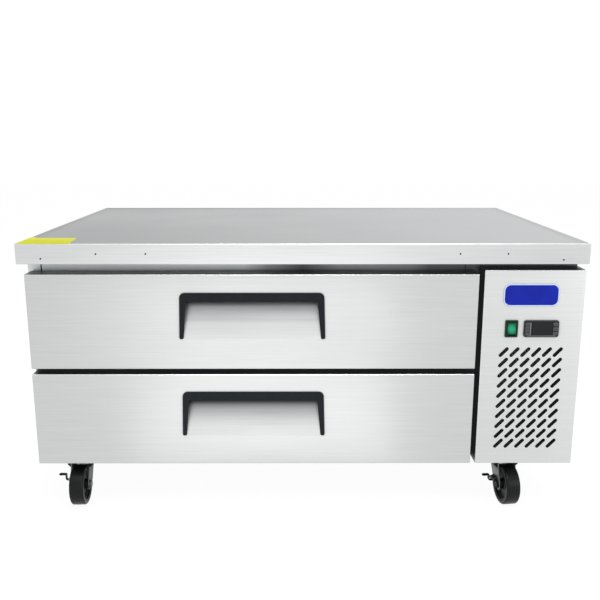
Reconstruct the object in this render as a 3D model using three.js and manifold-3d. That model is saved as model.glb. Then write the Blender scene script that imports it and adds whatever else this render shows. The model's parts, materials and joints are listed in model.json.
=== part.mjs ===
// Refrigerated chef base: a low two-drawer refrigerator on casters, whose worktop carries cooking equipment.
// Millimetres, +X right, -Y front, +Z up. The origin is on the floor, under the middle of the worktop.
import * as THREE from 'three';
import { mergeVertices } from 'three/addons/utils/BufferGeometryUtils.js';
import Module from 'manifold-3d';

// Fits that every piece shares
const seat = 0.3;
const overrun = 4;

// Worktop
const topLength = 1321;
const topDepth = 838;
const overallHeight = 676;
const topSheet = 2;
const rimWidth = 6;
const rimHeight = 3;
const fasciaHeight = 48;
const fasciaHem = 18;

// Cabinet shell
const floorClearance = 131;
const sheet = 1.5;
const sideOverhang = 5.5;
const frontSetback = 62;
const backOverhang = 8;

// Fronts and how they lie on the cabinet
const panelWidth = 235.6;
const panelOverhang = 2.6;
const panelTopGap = 15;
const frontThickness = 46;
const frontSideInset = 8.5;
const frontToPanelGap = 11.5;
const frontTopGap = 25;
const frontGap = 13;
const gasketDepth = 8;
const gasketWidth = 14;
const gasketMargin = 6;

// Cold box
const sideWall = 50;
const dividerWall = 46;
const partitionInset = 4;
const openingFootOverlap = 34;
const openingHeadOverlap = 22;
const ceilingRise = 10;
const backWall = 45;
const linerSheet = 1.2;
const mullionDepth = 30;

// Opening of the machine bay in the face frame
const bayFrameSide = 18;
const bayFrameFoot = 30;
const bayFrameHead = 40;

// Back panel: louvres and cord gland of the machine bay
const louvreLength = 150;
const louvreHeight = 7;
const louvrePitch = 22;
const louvreFirst = 90;
const louvreCount = 14;
const glandRadius = 9;
const glandWall = 4;
const glandLength = 7;
const glandHeight = 45;
const glandInset = 30;

// Finger scoop and trim handle of a drawer front
const handleWidth = 339;
const handleHeight = 111;
const handleDrop = 44;
const handleBar = 21.5;
const legTopWidth = 15;
const legFootWidth = 10;
const legSplay = 4;
const handleCorner = 12;
const handleInnerCorner = 8;
const handleFootCorner = 3.5;
const handleProud = 2.6;
const handleLip = 5;
const scoopInset = 8;
const scoopSideInset = 5;
const scoopDepth = 30;
const scoopRoofRun = 9;
const scoopFloorDrop = 34;
const creaseDrop = 66;
const creaseDepth = 15;

// Pan frame of a drawer
const frameSheet = 2;
const frameRearClearance = 80.4;
const frameFootClearance = 10;
const frameHeadClearance = 14;
const panEndLedge = 20;
const panSideLedge = 30;
const fullPanWidth = 306;
const smallPanWidth = 154;
const smallPanBar = 12;
const smallPanCount = 3;

// Telescopic slides
const slideSheet = 1.5;
const slideHeight = 46;
const slideDepth = 13;
const slideLift = 23;
const railRearClearance = 80.9;
const middleRailSetback = 40;
const slideToFrame = 20;

// Machine cover panel: vent slots and cut-outs
const slotLength = 30.2;
const slotWidth = 8.6;
const slotPitch = 25.7;
const slotAngle = THREE.MathUtils.degToRad(46.5);
const slotSideMargin = 35;
const slotFootMargin = 40;
const slotFirstDrop = 197.85;
const slotFieldShift = 0.6;

// Rocker switch
const switchWidth = 30;
const switchHeight = 41;
const switchDrop = 140.3;
const switchInset = 69;
const bezelProud = 3;
const bezelRim = 3.4;
const bezelBodyInset = 3;
const bezelBodyDepth = 24;
const bezelFloor = 3;
const rockerClearance = 0.5;
const rockerProud = 2;
const rockerPivotDepth = 7;
const rockerTilt = THREE.MathUtils.degToRad(8);

// Temperature controller
const controllerWidth = 82;
const controllerHeight = 40;
const controllerInset = 139.2;
const controllerProud = 4.2;
const controllerBodyInset = 3.8;
const controllerBodyDepth = 44;
const cutoutClearance = 0.4;
const keyCount = 3;
const keyWidth = 11;
const keyHeight = 7.4;
const keyPitch = 11.4;
const keyInset = 8;
const keyDepth = 3.6;
const keyProud = 1;
const keyTravel = 0.8;

// Casters
const wheelRadius = 51;
const wheelWidth = 36;
const treadRound = 7;
const rimInnerRadius = 38;
const webWidth = 16;
const hubRadius = 13;
const hubLength = 38;
const axleRadius = 6;
const axleClearance = 0.5;
const boltHeadRadius = 9;
const boltHeadHeight = 5;
const casterTrail = 35;
const casterPlateLength = 95;
const casterPlateWidth = 67;
const casterPlateSheet = 3;
const casterPlateInset = 0.5;
const boltSlotX = 37;
const boltSlotY = 23;
const boltSlotRadius = 4.2;
const racewayRadius = 31;
const racewayHeight = 9.5;
const crownRadius = 34;
const crownHeight = 12;
const legGap = 1.3;
const legSheet = 3;
const legTopFront = 28;
const legTopBack = 28;
const legFootRadius = 13;
const legFootBack = 29;
const legDrop = 3;
const casterLeftInset = 95;
const casterRightInset = 146;
const casterAngles = { front_left: 2, front_right: 7, rear_left: 0, rear_right: 0 };

// Brake levers of the front casters
const leverPinRadius = 2.5;
const leverPinClearance = 0.5;
const leverSleeveWall = 2;
const leverSheet = 2.5;
const leverWidth = 14;
const leverPivotForward = 16;
const leverPivotHeight = 58;
const leverRise = 12;
const leverReach = 10;
const tabLength = 20;
const tabWidth = 24;
const earSheet = 2.5;
const earClearance = 0.4;

// Machine bay
const bayInset = 12;
const traySheet = 3;
const trayRim = 16;
const trayFront = 27;
const trayBack = 30;
const coilHeight = 300;
const coilDepth = 44;
const coilFromTray = 12;
const coilCore = 20;
const finSheet = 1.6;
const finPitch = 21;
const shroudDepth = 62;
const shroudSheet = 2;
const bayFanRadius = 82;
const fanClearance = 6;
const fanHubRadius = 22;
const fanHubLength = 18;
const bladeSetback = 3;
const bladeCount = 5;
const bladeChord = 38;
const bladeSheet = 1.6;
const bladePitch = THREE.MathUtils.degToRad(28);
const shaftRadius = 4;
const shaftClearance = 0.5;
const fanWebWall = 4;
const motorRadius = 32;
const motorLength = 48;
const armWidth = 12;
const armSheet = 6;
const compressorRadius = 86;
const compressorHeight = 176;
const compressorShoulder = 52;
const compressorFromBack = 235;
const footRadius = 12;
const footHeight = 14;
const footSpacing = 62;
const footPlate = 164;
const footPlateSheet = 3;
const terminalBox = 44;
const lineRadius = 4.5;
const lineBend = 30;
const lineRise = 60;
const lineShift = 40;

// Evaporator behind the drawers
const evaporatorWidth = 460;
const evaporatorDepth = 100;
const evaporatorMargin = 20;
const evaporatorSheet = 1.2;
const evaporatorFanRadius = 66;
const evaporatorFanRiseShare = 0.7;
const evaporatorCoilTopShare = 0.4145;
const evaporatorCoilMargin = 40;
const evaporatorCoilLift = 20;
const evaporatorCoilStand = 30;
const evaporatorCoilDepth = 40;
const evaporatorMotorRadius = 28;
const evaporatorMotorLength = 46;
const motorPlateWidth = 120;
const intakeSlotLength = 130;
const intakeSlotHeight = 8;
const intakeSlotPitch = 18;
const intakeSlotCount = 5;

// Where the main planes and edges of the object lie, worked out from the sizes above
const half = (length) => length / 2;
const middle = (span) => (span[0] + span[1]) / 2;
const inset = (span, low, high = low) => [span[0] + low, span[1] - high];
const from = (low, length) => [low, low + length];
const upTo = (high, length) => [high - length, high];
const about = (centre, length) => [centre - half(length), centre + half(length)];

const topX = about(0, topLength);
const topY = about(0, topDepth);
const deckZ = overallHeight - rimHeight;
const deckUnder = deckZ - topSheet;
const fasciaFoot = overallHeight - fasciaHeight;
const shellX = inset(topX, sideOverhang);
const shellY = inset(topY, frontSetback, backOverhang);
const shellZ = [floorClearance, deckUnder - seat];
const insideX = inset(shellX, sheet + seat);
const insideY = inset(shellY, sheet + seat);
const insideZ = [shellZ[0] + sheet + seat, shellZ[1]];

const outerPlane = shellY[0] - gasketDepth - frontThickness;
const frontBackPlane = outerPlane + frontThickness;
const panelX = upTo(shellX[1] + panelOverhang, panelWidth);
const panelZ = [floorClearance, fasciaFoot - panelTopGap];
const frontX = [shellX[0] + frontSideInset, panelX[0] - frontToPanelGap];
const frontsZ = [floorClearance, fasciaFoot - frontTopGap];
const frontHeight = half(frontsZ[1] - frontsZ[0] - frontGap);
const lowerFrontZ = from(frontsZ[0], frontHeight);
const upperFrontZ = upTo(frontsZ[1], frontHeight);

const partitionX = upTo(panelX[0] - partitionInset + sheet, sheet);
const coldX = [shellX[0] + sideWall, partitionX[0] - dividerWall];
const openingOf = (frontZ) => inset(frontZ, openingFootOverlap, openingHeadOverlap);
const lowerOpeningZ = openingOf(lowerFrontZ);
const upperOpeningZ = openingOf(upperFrontZ);
const coldZ = [lowerOpeningZ[0], upperOpeningZ[1] + ceilingRise];
const coldY = [shellY[0] + sheet + seat, shellY[1] - backWall];
const bayX = [partitionX[1], shellX[1] - sheet];
const evaporatorY = upTo(coldY[1] - seat, evaporatorDepth);

// Solids: three.js makes the shapes, manifold-3d joins and cuts them
const wasm = await Module();
wasm.setup();

function solid(geometry) {
  const bare = geometry.clone();
  bare.deleteAttribute('normal');
  bare.deleteAttribute('uv');
  const merged = mergeVertices(bare);
  return new wasm.Manifold(new wasm.Mesh({
    numProp: 3,
    vertProperties: new Float32Array(merged.attributes.position.array),
    triVerts: new Uint32Array(merged.index.array),
  }));
}

function geometryOf(manifold) {
  const mesh = manifold.getMesh();
  const geometry = new THREE.BufferGeometry();
  geometry.setAttribute('position', new THREE.BufferAttribute(new Float32Array(mesh.vertProperties), 3));
  geometry.setIndex(new THREE.BufferAttribute(new Uint32Array(mesh.triVerts), 1));
  geometry.computeVertexNormals();
  return geometry;
}

function box(x, y, z) {
  const geometry = new THREE.BoxGeometry(x[1] - x[0], y[1] - y[0], z[1] - z[0]);
  geometry.translate(middle(x), middle(y), middle(z));
  return solid(geometry);
}

const xAxis = new THREE.Vector3(1, 0, 0);
const yAxis = new THREE.Vector3(0, 1, 0);
const zAxis = new THREE.Vector3(0, 0, 1);

// A cylinder along one axis; its cross coordinates are the other two in X, Y, Z order
function rod(axis, radius, span, cross, sides = 16) {
  const geometry = new THREE.CylinderGeometry(radius, radius, span[1] - span[0], sides);
  if (axis === xAxis) {
    geometry.rotateZ(-Math.PI / 2);
    geometry.translate(middle(span), cross[0], cross[1]);
  } else if (axis === yAxis) {
    geometry.translate(cross[0], middle(span), cross[1]);
  } else {
    geometry.rotateX(Math.PI / 2);
    geometry.translate(cross[0], cross[1], middle(span));
  }
  return solid(geometry);
}

// An outline in the plane across an axis, drawn out along it: [y, z] along X, [x, z] along Y, [x, y] along Z
function prism(axis, outline, span, curveSegments = 6) {
  const shape = outline instanceof THREE.Shape ? outline
    : new THREE.Shape(outline.map((point) => new THREE.Vector2(point[0], point[1])));
  const depth = span[1] - span[0];
  const geometry = new THREE.ExtrudeGeometry(shape, { depth, bevelEnabled: false, curveSegments });
  const turn = new THREE.Matrix4();
  if (axis === xAxis) {
    turn.makeBasis(yAxis, zAxis, xAxis);
    geometry.applyMatrix4(turn);
    geometry.translate(span[0], 0, 0);
  } else if (axis === yAxis) {
    turn.makeBasis(xAxis, zAxis, yAxis.clone().negate());
    geometry.applyMatrix4(turn);
    geometry.translate(0, span[1], 0);
  } else {
    geometry.translate(0, 0, span[0]);
  }
  return solid(geometry);
}

const joined = (first, ...rest) => rest.reduce((sum, next) => sum.add(next), first);
const cut = (first, ...rest) => rest.reduce((sum, next) => sum.subtract(next), first);

// Materials
function finish(color, roughness, metalness) {
  return new THREE.MeshStandardMaterial({ color, roughness, metalness });
}

const stainless = finish('#d4d6d8', 0.32, 1);
const galvanised = finish('#a9adb0', 0.5, 1);
const foam = finish('#e6d9a8', 0.9, 0);
const whitePlastic = finish('#e8e9ea', 0.5, 0);
const blackPlastic = finish('#2a2e31', 0.5, 0);
const gasketRubber = finish('#8b8f92', 0.8, 0);
const greenPlastic = finish('#10a070', 0.25, 0);
const darkGreenPlastic = finish('#0a4a35', 0.3, 0);
const controllerPlastic = finish('#2e3032', 0.45, 0);
const keyPlastic = finish('#5a5c5e', 0.5, 0);
const wheelRubber = finish('#1c1e1e', 0.6, 0);
const zincSteel = finish('#8e9292', 0.4, 1);
const blackSteel = finish('#17191a', 0.45, 0.4);
const aluminium = finish('#b9bdc0', 0.4, 1);
const copper = finish('#b4683c', 0.35, 1);

const object = new THREE.Group();

function place(name, shape, material, parent = object) {
  const mesh = new THREE.Mesh(geometryOf(shape), material);
  mesh.name = name;
  parent.add(mesh);
}

// Worktop: a folded sheet with a rim above, a fascia all round and a hem under the front fascia
function worktop() {
  const block = box(topX, topY, [fasciaFoot, overallHeight]);
  const deck = box(inset(topX, rimWidth), inset(topY, rimWidth), [deckZ, overallHeight + overrun]);
  const hollowX = inset(topX, topSheet);
  const hollow = box(hollowX, inset(topY, topSheet), [fasciaFoot + topSheet, deckUnder]);
  const mouthZ = [fasciaFoot - overrun, fasciaFoot + topSheet + overrun];
  const mouth = box(hollowX, inset(topY, fasciaHem, topSheet), mouthZ);
  place('worktop', cut(block, deck, hollow, mouth), stainless);
}

// Cabinet: sides, back, bottom with the bay's partition, face frame, insulation and liner
function cabinet() {
  const behindFrame = [shellY[0] + sheet + seat, shellY[1]];
  place('left_side', box(from(shellX[0], sheet), behindFrame, shellZ), stainless);
  place('right_side', box(upTo(shellX[1], sheet), behindFrame, shellZ), stainless);

  const bottom = box(insideX, behindFrame, from(shellZ[0], sheet));
  const partition = box(partitionX, insideY, [shellZ[0], shellZ[1]]);
  place('base_pan', joined(bottom, partition), galvanised);

  const bayMiddle = middle(bayX);
  const backY = upTo(shellY[1], sheet);
  let back = box(insideX, backY, insideZ);
  for (let row = 0; row < louvreCount; row += 1) {
    const z = insideZ[0] + louvreFirst + row * louvrePitch;
    back = cut(back, box(about(bayMiddle, louvreLength), inset(backY, -overrun), about(z, louvreHeight)));
  }
  const gland = [bayX[1] - glandInset, insideZ[0] + glandHeight];
  back = joined(back, rod(yAxis, glandRadius + glandWall, [backY[0], backY[1] + glandLength], gland));
  back = cut(back, rod(yAxis, glandRadius, inset(backY, -overrun, -glandLength - overrun), gland));
  place('back_panel', back, galvanised);

  const frameY = from(shellY[0], sheet);
  const opening = (x, z) => box(x, inset(frameY, -overrun), z);
  const bayOpeningX = [bayX[0] + bayFrameSide, bayX[1] - bayFrameSide];
  const bayOpeningZ = inset(panelZ, bayFrameFoot, bayFrameHead - panelTopGap);
  const mullionZ = [lowerOpeningZ[1], upperOpeningZ[0]];
  const mullion = box(inset(coldX, seat), from(shellY[0], mullionDepth), mullionZ);
  const frame = cut(
    box(shellX, frameY, shellZ),
    opening(coldX, lowerOpeningZ),
    opening(coldX, upperOpeningZ),
    opening(bayOpeningX, bayOpeningZ),
  );
  place('face_frame', joined(frame, mullion), stainless);

  const linerX = inset(coldX, -linerSheet);
  const linerY = [coldY[0], coldY[1] + linerSheet];
  const linerZ = inset(coldZ, -linerSheet);
  const coldSpace = box(coldX, [coldY[0] - overrun, coldY[1]], coldZ);
  place('liner', cut(box(linerX, linerY, linerZ), coldSpace), stainless);

  const foamX = [insideX[0], partitionX[0] - seat];
  const linerRoom = box(inset(linerX, -seat), [linerY[0] - overrun, linerY[1] + seat], inset(linerZ, -seat));
  place('foam_core', cut(box(foamX, insideY, insideZ), linerRoom), foam);
}

// Outline of the scoop in the [y, z] plane, grown outwards by a wall
function scoopOutline(topZ, grow) {
  const face = outerPlane - overrun;
  const mouthZ = topZ - scoopInset;
  const floorZ = topZ - scoopInset - scoopFloorDrop;
  const creaseZ = topZ - creaseDrop;
  const footZ = topZ - handleHeight;
  return [
    [face, footZ - grow],
    [outerPlane, footZ - grow],
    [outerPlane + creaseDepth + grow, creaseZ],
    [outerPlane + scoopDepth + grow, floorZ],
    [outerPlane + scoopDepth + grow, mouthZ - scoopRoofRun + grow],
    [outerPlane + scoopDepth - scoopRoofRun, mouthZ + grow],
    [face, mouthZ + grow],
  ];
}

function scoop(centreX, topZ, grow) {
  const width = handleWidth + legSplay - scoopSideInset * 2 + grow * 2;
  return prism(xAxis, scoopOutline(topZ, grow), about(centreX, width));
}

// Trim handle: a bar with two tapering legs around the scoop, and a lip that reaches into it
function trimHandle(centreX, topZ) {
  const outer = half(handleWidth);
  const inner = outer - legTopWidth;
  const foot = outer + legSplay;
  const footInner = foot - legFootWidth;
  const barFoot = -handleBar;
  const footRound = handleFootCorner - handleHeight;
  const shape = new THREE.Shape();
  shape.moveTo(-foot, footRound);
  shape.quadraticCurveTo(-foot, -handleHeight, handleFootCorner - foot, -handleHeight);
  shape.lineTo(-footInner - handleFootCorner, -handleHeight);
  shape.quadraticCurveTo(-footInner, -handleHeight, -footInner, footRound);
  shape.lineTo(-inner, barFoot - handleInnerCorner);
  shape.quadraticCurveTo(-inner, barFoot, handleInnerCorner - inner, barFoot);
  shape.lineTo(inner - handleInnerCorner, barFoot);
  shape.quadraticCurveTo(inner, barFoot, inner, barFoot - handleInnerCorner);
  shape.lineTo(footInner, footRound);
  shape.quadraticCurveTo(footInner, -handleHeight, footInner + handleFootCorner, -handleHeight);
  shape.lineTo(foot - handleFootCorner, -handleHeight);
  shape.quadraticCurveTo(foot, -handleHeight, foot, footRound);
  shape.lineTo(outer, -handleCorner);
  shape.quadraticCurveTo(outer, 0, outer - handleCorner, 0);
  shape.lineTo(handleCorner - outer, 0);
  shape.quadraticCurveTo(-outer, 0, -outer, -handleCorner);
  const trim = prism(yAxis, shape, upTo(outerPlane - seat, handleProud)).translate([centreX, 0, topZ]);
  const lipWidth = handleWidth + legSplay - scoopSideInset * 2 - seat * 2;
  const lipZ = [topZ - handleBar, topZ - scoopInset - seat];
  const lip = box(about(centreX, lipWidth), [outerPlane - handleProud, outerPlane + handleLip], lipZ);
  return joined(trim, lip);
}

// Pan frame: four walls, a flange with the pans' openings, and the slides' inner rails
function panFrame(openingZ) {
  const frameX = inset(coldX, slideToFrame);
  const frameZ = inset(openingZ, frameFootClearance, frameHeadClearance);
  const frameY = [frontBackPlane + seat, evaporatorY[0] - frameRearClearance];
  const innerX = inset(frameX, frameSheet);
  const innerY = inset(frameY, frameSheet);
  let frame = box(frameX, frameY, frameZ);
  frame = cut(frame, box(innerX, innerY, [frameZ[0] - overrun, frameZ[1] - frameSheet]));
  const through = [frameZ[0] - overrun, frameZ[1] + overrun];
  const pansSpace = innerX[1] - innerX[0] - smallPanWidth;
  const fullPanCount = Math.floor((pansSpace - panSideLedge) / (fullPanWidth + panSideLedge));
  const ledge = (pansSpace - fullPanCount * fullPanWidth) / (fullPanCount + 2);
  const pansY = inset(innerY, panEndLedge);
  for (let pan = 0; pan < fullPanCount; pan += 1) {
    const panX = from(innerX[0] + ledge + pan * (fullPanWidth + ledge), fullPanWidth);
    frame = cut(frame, box(panX, pansY, through));
  }
  const smallX = upTo(innerX[1] - ledge, smallPanWidth);
  const smallDepth = (pansY[1] - pansY[0] - smallPanBar * (smallPanCount - 1)) / smallPanCount;
  for (let pan = 0; pan < smallPanCount; pan += 1) {
    const smallY = from(pansY[0] + pan * (smallDepth + smallPanBar), smallDepth);
    frame = cut(frame, box(smallX, smallY, through));
  }
  const grip = slideSheet * 2 + seat * 2;
  const railZ = inset(from(openingZ[0] + slideLift, slideHeight), grip);
  const reach = slideToFrame - seat - slideSheet - seat - slideSheet - seat;
  for (const side of [-1, 1]) {
    const edge = side < 0 ? frameX[0] : frameX[1];
    const railX = side < 0 ? [edge - reach, edge + frameSheet] : [edge - frameSheet, edge + reach];
    const grooveX = side < 0 ? [edge - reach - overrun, edge] : [edge, edge + reach + overrun];
    const rail = box(railX, frameY, railZ);
    const groove = box(grooveX, inset(frameY, -overrun), inset(railZ, slideSheet));
    frame = joined(frame, cut(rail, groove));
  }
  return frame;
}

// A channel that lies against a wall and opens towards the drawer
function channel(wallX, side, depth, y, z) {
  const x = side < 0 ? from(wallX, depth) : upTo(wallX, depth);
  const hollowX = side < 0 ? [x[0] + slideSheet, x[1] + overrun] : [x[0] - overrun, x[1] - slideSheet];
  return cut(box(x, y, z), box(hollowX, inset(y, -overrun), inset(z, slideSheet)));
}

// A drawer with its two slides
function drawer(name, frontZ) {
  const openingZ = openingOf(frontZ);
  const centreX = middle(frontX);
  const handleTop = frontZ[1] - handleDrop;
  const frontY = from(outerPlane, frontThickness);
  const tray = cut(
    box(frontX, frontY, frontZ),
    scoop(centreX, handleTop, 0),
    cut(
      box(inset(frontX, sheet), [frontY[0] + sheet, frontY[1] + overrun], inset(frontZ, sheet)),
      scoop(centreX, handleTop, sheet),
    ),
  );
  place(`${name}_front`, tray, stainless);

  const fill = sheet + seat;
  const inner = cut(
    box(inset(frontX, fill), [frontY[0] + fill, frontY[1]], inset(frontZ, fill)),
    scoop(centreX, handleTop, fill),
  );
  place(`${name}_inner_panel`, inner, whitePlastic);
  place(`${name}_handle`, trimHandle(centreX, handleTop), blackPlastic);

  const ringY = [frontBackPlane + seat, shellY[0] - seat];
  const ring = cut(
    box(inset(coldX, -gasketMargin - gasketWidth), ringY, inset(openingZ, -gasketMargin - gasketWidth)),
    box(inset(coldX, -gasketMargin), inset(ringY, -overrun), inset(openingZ, -gasketMargin)),
  );
  place(`${name}_gasket`, ring, gasketRubber);
  place(`${name}_frame`, panFrame(openingZ), stainless);

  const outerZ = from(openingZ[0] + slideLift, slideHeight);
  const middleZ = inset(outerZ, slideSheet + seat);
  const outerY = [coldY[0] + seat, coldY[1] - railRearClearance];
  const middleY = [outerY[0], outerY[1] - middleRailSetback];
  for (const [label, side] of [['left', -1], ['right', 1]]) {
    const wall = side < 0 ? coldX[0] + seat : coldX[1] - seat;
    const middleWall = wall - side * (slideSheet + seat);
    place(`${name}_${label}_outer_rail`, channel(wall, side, slideDepth, outerY, outerZ), galvanised);
    const middleRail = channel(middleWall, side, slideDepth - slideSheet, middleY, middleZ);
    place(`${name}_${label}_middle_rail`, middleRail, galvanised);
  }
}

// Machine cover: a folded panel with slanted vent slots and two cut-outs
const switchCentre = [panelX[0] + switchInset, panelZ[1] - switchDrop];
const controllerCentre = [panelX[0] + controllerInset, switchCentre[1]];

function slantedSlot(x, z) {
  const straight = half(slotLength - slotWidth);
  const radius = half(slotWidth);
  const shape = new THREE.Shape();
  shape.absarc(straight, 0, radius, -Math.PI / 2, Math.PI / 2);
  shape.absarc(-straight, 0, radius, Math.PI / 2, Math.PI * 3 / 2);
  const bar = prism(yAxis, shape, inset(from(outerPlane, sheet), -overrun), 3);
  return bar.rotate([0, -THREE.MathUtils.radToDeg(slotAngle), 0]).translate([x, 0, z]);
}

function grillePanel() {
  const panelY = [outerPlane, shellY[0] - seat];
  let panel = cut(
    box(panelX, panelY, panelZ),
    box(inset(panelX, sheet), [panelY[0] + sheet, panelY[1] + overrun], inset(panelZ, sheet)),
  );
  const fieldX = middle(panelX) + slotFieldShift;
  const firstZ = panelZ[1] - slotFirstDrop;
  const columns = Math.floor((panelWidth - slotSideMargin * 2) / slotPitch);
  const rows = Math.floor((firstZ - panelZ[0] - slotFootMargin) / slotPitch) + 1;
  for (let row = 0; row < rows; row += 1) {
    for (let column = 0; column < columns; column += 1) {
      const x = fieldX + (column - half(columns - 1)) * slotPitch;
      panel = cut(panel, slantedSlot(x, firstZ - row * slotPitch));
    }
  }
  const through = inset(from(outerPlane, sheet), -overrun);
  const cutout = (centre, width, height) => box(
    about(centre[0], width + cutoutClearance * 2), through, about(centre[1], height + cutoutClearance * 2));
  const switchHole = cutout(switchCentre,
    switchWidth - bezelBodyInset * 2, switchHeight - bezelBodyInset * 2);
  const controllerHole = cutout(controllerCentre,
    controllerWidth - controllerBodyInset * 2, controllerHeight - controllerBodyInset * 2);
  place('grille_panel', cut(panel, switchHole, controllerHole), stainless);
}

// Rocker switch: a frame with a pocket, and a rocker that tips about a pin across it
function rockerSwitch() {
  const [x, z] = switchCentre;
  const bezelY = upTo(outerPlane - seat, bezelProud);
  const bodyWidth = switchWidth - bezelBodyInset * 2;
  const bodyHeight = switchHeight - bezelBodyInset * 2;
  const pocketWidth = bodyWidth - bezelRim * 2 + bezelBodyInset;
  const pocketHeight = bodyHeight - bezelRim * 2 + bezelBodyInset;
  const bodyY = [bezelY[0], outerPlane + bezelBodyDepth];
  const bezel = cut(
    joined(
      box(about(x, switchWidth), bezelY, about(z, switchHeight)),
      box(about(x, bodyWidth), bodyY, about(z, bodyHeight)),
    ),
    box(about(x, pocketWidth), [bezelY[0] - overrun, bodyY[1] - bezelFloor], about(z, pocketHeight)),
  );
  place('switch_bezel', bezel, darkGreenPlastic);

  const pivotY = bezelY[0] + rockerPivotDepth;
  const reach = half(pocketHeight) - rockerClearance;
  const face = rockerPivotDepth + rockerProud;
  const edge = Math.sqrt(reach * reach - rockerPivotDepth * rockerPivotDepth);
  const shape = new THREE.Shape();
  shape.moveTo(-face, -edge);
  shape.lineTo(-face + rockerProud, 0);
  shape.lineTo(-face, edge);
  shape.lineTo(-rockerPivotDepth, edge);
  shape.absarc(0, 0, reach, Math.atan2(edge, -rockerPivotDepth), Math.atan2(-edge, -rockerPivotDepth), true);
  const rocker = prism(xAxis, shape, about(0, pocketWidth - rockerClearance * 2), 10);
  place('switch_rocker', rocker.rotate([-THREE.MathUtils.radToDeg(rockerTilt), 0, 0])
    .translate([x, pivotY, z]), greenPlastic);
}

// Temperature controller: a bezel with its body behind the panel, and three keys in pockets
function controller() {
  const [x, z] = controllerCentre;
  const faceY = outerPlane - seat - controllerProud;
  let body = joined(
    box(about(x, controllerWidth), [faceY, outerPlane - seat], about(z, controllerHeight)),
    box(about(x, controllerWidth - controllerBodyInset * 2), [faceY, outerPlane + controllerBodyDepth],
      about(z, controllerHeight - controllerBodyInset * 2)),
  );
  const keyX = x + half(controllerWidth) - keyInset;
  for (let key = 0; key < keyCount; key += 1) {
    const keyZ = z + (half(keyCount - 1) - key) * keyPitch;
    const pocketY = [faceY - overrun, faceY - keyProud + keyDepth + keyTravel + seat];
    body = cut(body, box(about(keyX, keyWidth + seat * 2), pocketY, about(keyZ, keyHeight + seat * 2)));
    const cap = box(about(keyX, keyWidth), from(faceY - keyProud, keyDepth), about(keyZ, keyHeight));
    place(`controller_key_${key + 1}`, cap, keyPlastic);
  }
  place('controller_body', body, controllerPlastic);
}

// A closed profile of [radius, x] points turned about the X axis
function ring(points, sides) {
  const profile = points.map((point) => new THREE.Vector2(point[0], point[1]));
  const geometry = new THREE.LatheGeometry([...profile, profile[0].clone()], sides);
  geometry.rotateZ(-Math.PI / 2);
  geometry.rotateX(Math.PI / sides);
  return solid(geometry);
}

const wheelSides = 24;
const boreRadius = axleRadius + axleClearance;
const legInner = half(hubLength) + legGap;
const legOuter = legInner + legSheet;
const plateTop = floorClearance - seat;
const plateFoot = plateTop - casterPlateSheet;
const crownTop = plateFoot - racewayHeight - seat;
const crownFoot = crownTop - crownHeight;

function wheel() {
  const flat = 1 / Math.cos(Math.PI / wheelSides);
  const tread = wheelRadius * flat;
  return ring([
    [boreRadius, -half(hubLength)],
    [hubRadius, -half(hubLength)],
    [hubRadius, -half(webWidth)],
    [rimInnerRadius, -half(webWidth)],
    [rimInnerRadius, -half(wheelWidth)],
    [tread - treadRound, -half(wheelWidth)],
    [tread, treadRound - half(wheelWidth)],
    [tread, half(wheelWidth) - treadRound],
    [tread - treadRound, half(wheelWidth)],
    [rimInnerRadius, half(wheelWidth)],
    [rimInnerRadius, half(webWidth)],
    [hubRadius, half(webWidth)],
    [hubRadius, half(hubLength)],
    [boreRadius, half(hubLength)],
  ], wheelSides);
}

// Fork: a round crown on the swivel axis and two legs that run forward to the axle
function fork(hasBrake) {
  const leg = new THREE.Shape();
  leg.moveTo(legTopBack, crownFoot + legSheet);
  leg.lineTo(-legTopFront, crownFoot + legSheet);
  leg.lineTo(-casterTrail - legFootRadius, wheelRadius + legDrop);
  leg.absarc(-casterTrail, wheelRadius, legFootRadius, Math.PI, Math.PI * 3 / 2);
  leg.lineTo(legFootRadius - casterTrail, wheelRadius - legFootRadius);
  leg.lineTo(legFootBack - casterTrail, wheelRadius);
  const legs = [[-legOuter, -legInner], [legInner, legOuter]].map((span) => prism(xAxis, leg, span, 5));
  const bridge = box([-legOuter, legOuter], [-legTopFront, legTopBack], from(crownFoot, legSheet));
  const crown = rod(zAxis, crownRadius, [crownFoot, crownTop], [0, 0], 20);
  let body = joined(crown, bridge, ...legs);
  if (hasBrake) {
    body = joined(body, ...leverBracket());
  }
  const boreSpan = [-legOuter - overrun, legOuter + overrun];
  return cut(body, rod(xAxis, boreRadius, boreSpan, [-casterTrail, wheelRadius]));
}

const sleeveRadius = leverPinRadius + leverPinClearance + leverSleeveWall;
const leverPinX = -legOuter - seat - sleeveRadius;
const leverPinY = -leverPivotForward;
const leverPin = [leverPinX, leverPivotHeight];

function leverBracket() {
  const gap = leverWidth + earClearance * 2;
  const earOutline = [
    [-legOuter + seat, leverPivotHeight - sleeveRadius],
    [leverPinX - sleeveRadius, leverPivotHeight - half(sleeveRadius)],
    [leverPinX - sleeveRadius, leverPivotHeight + half(sleeveRadius)],
    [-legOuter + seat, leverPivotHeight + sleeveRadius],
  ].reverse();
  const earSpans = [upTo(leverPinY - half(gap), earSheet), from(leverPinY + half(gap), earSheet)];
  const ears = earSpans.map((span) => prism(yAxis, earOutline, span));
  return [...ears, rod(yAxis, leverPinRadius, [earSpans[0][0], earSpans[1][1]], leverPin, 10)];
}

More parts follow.
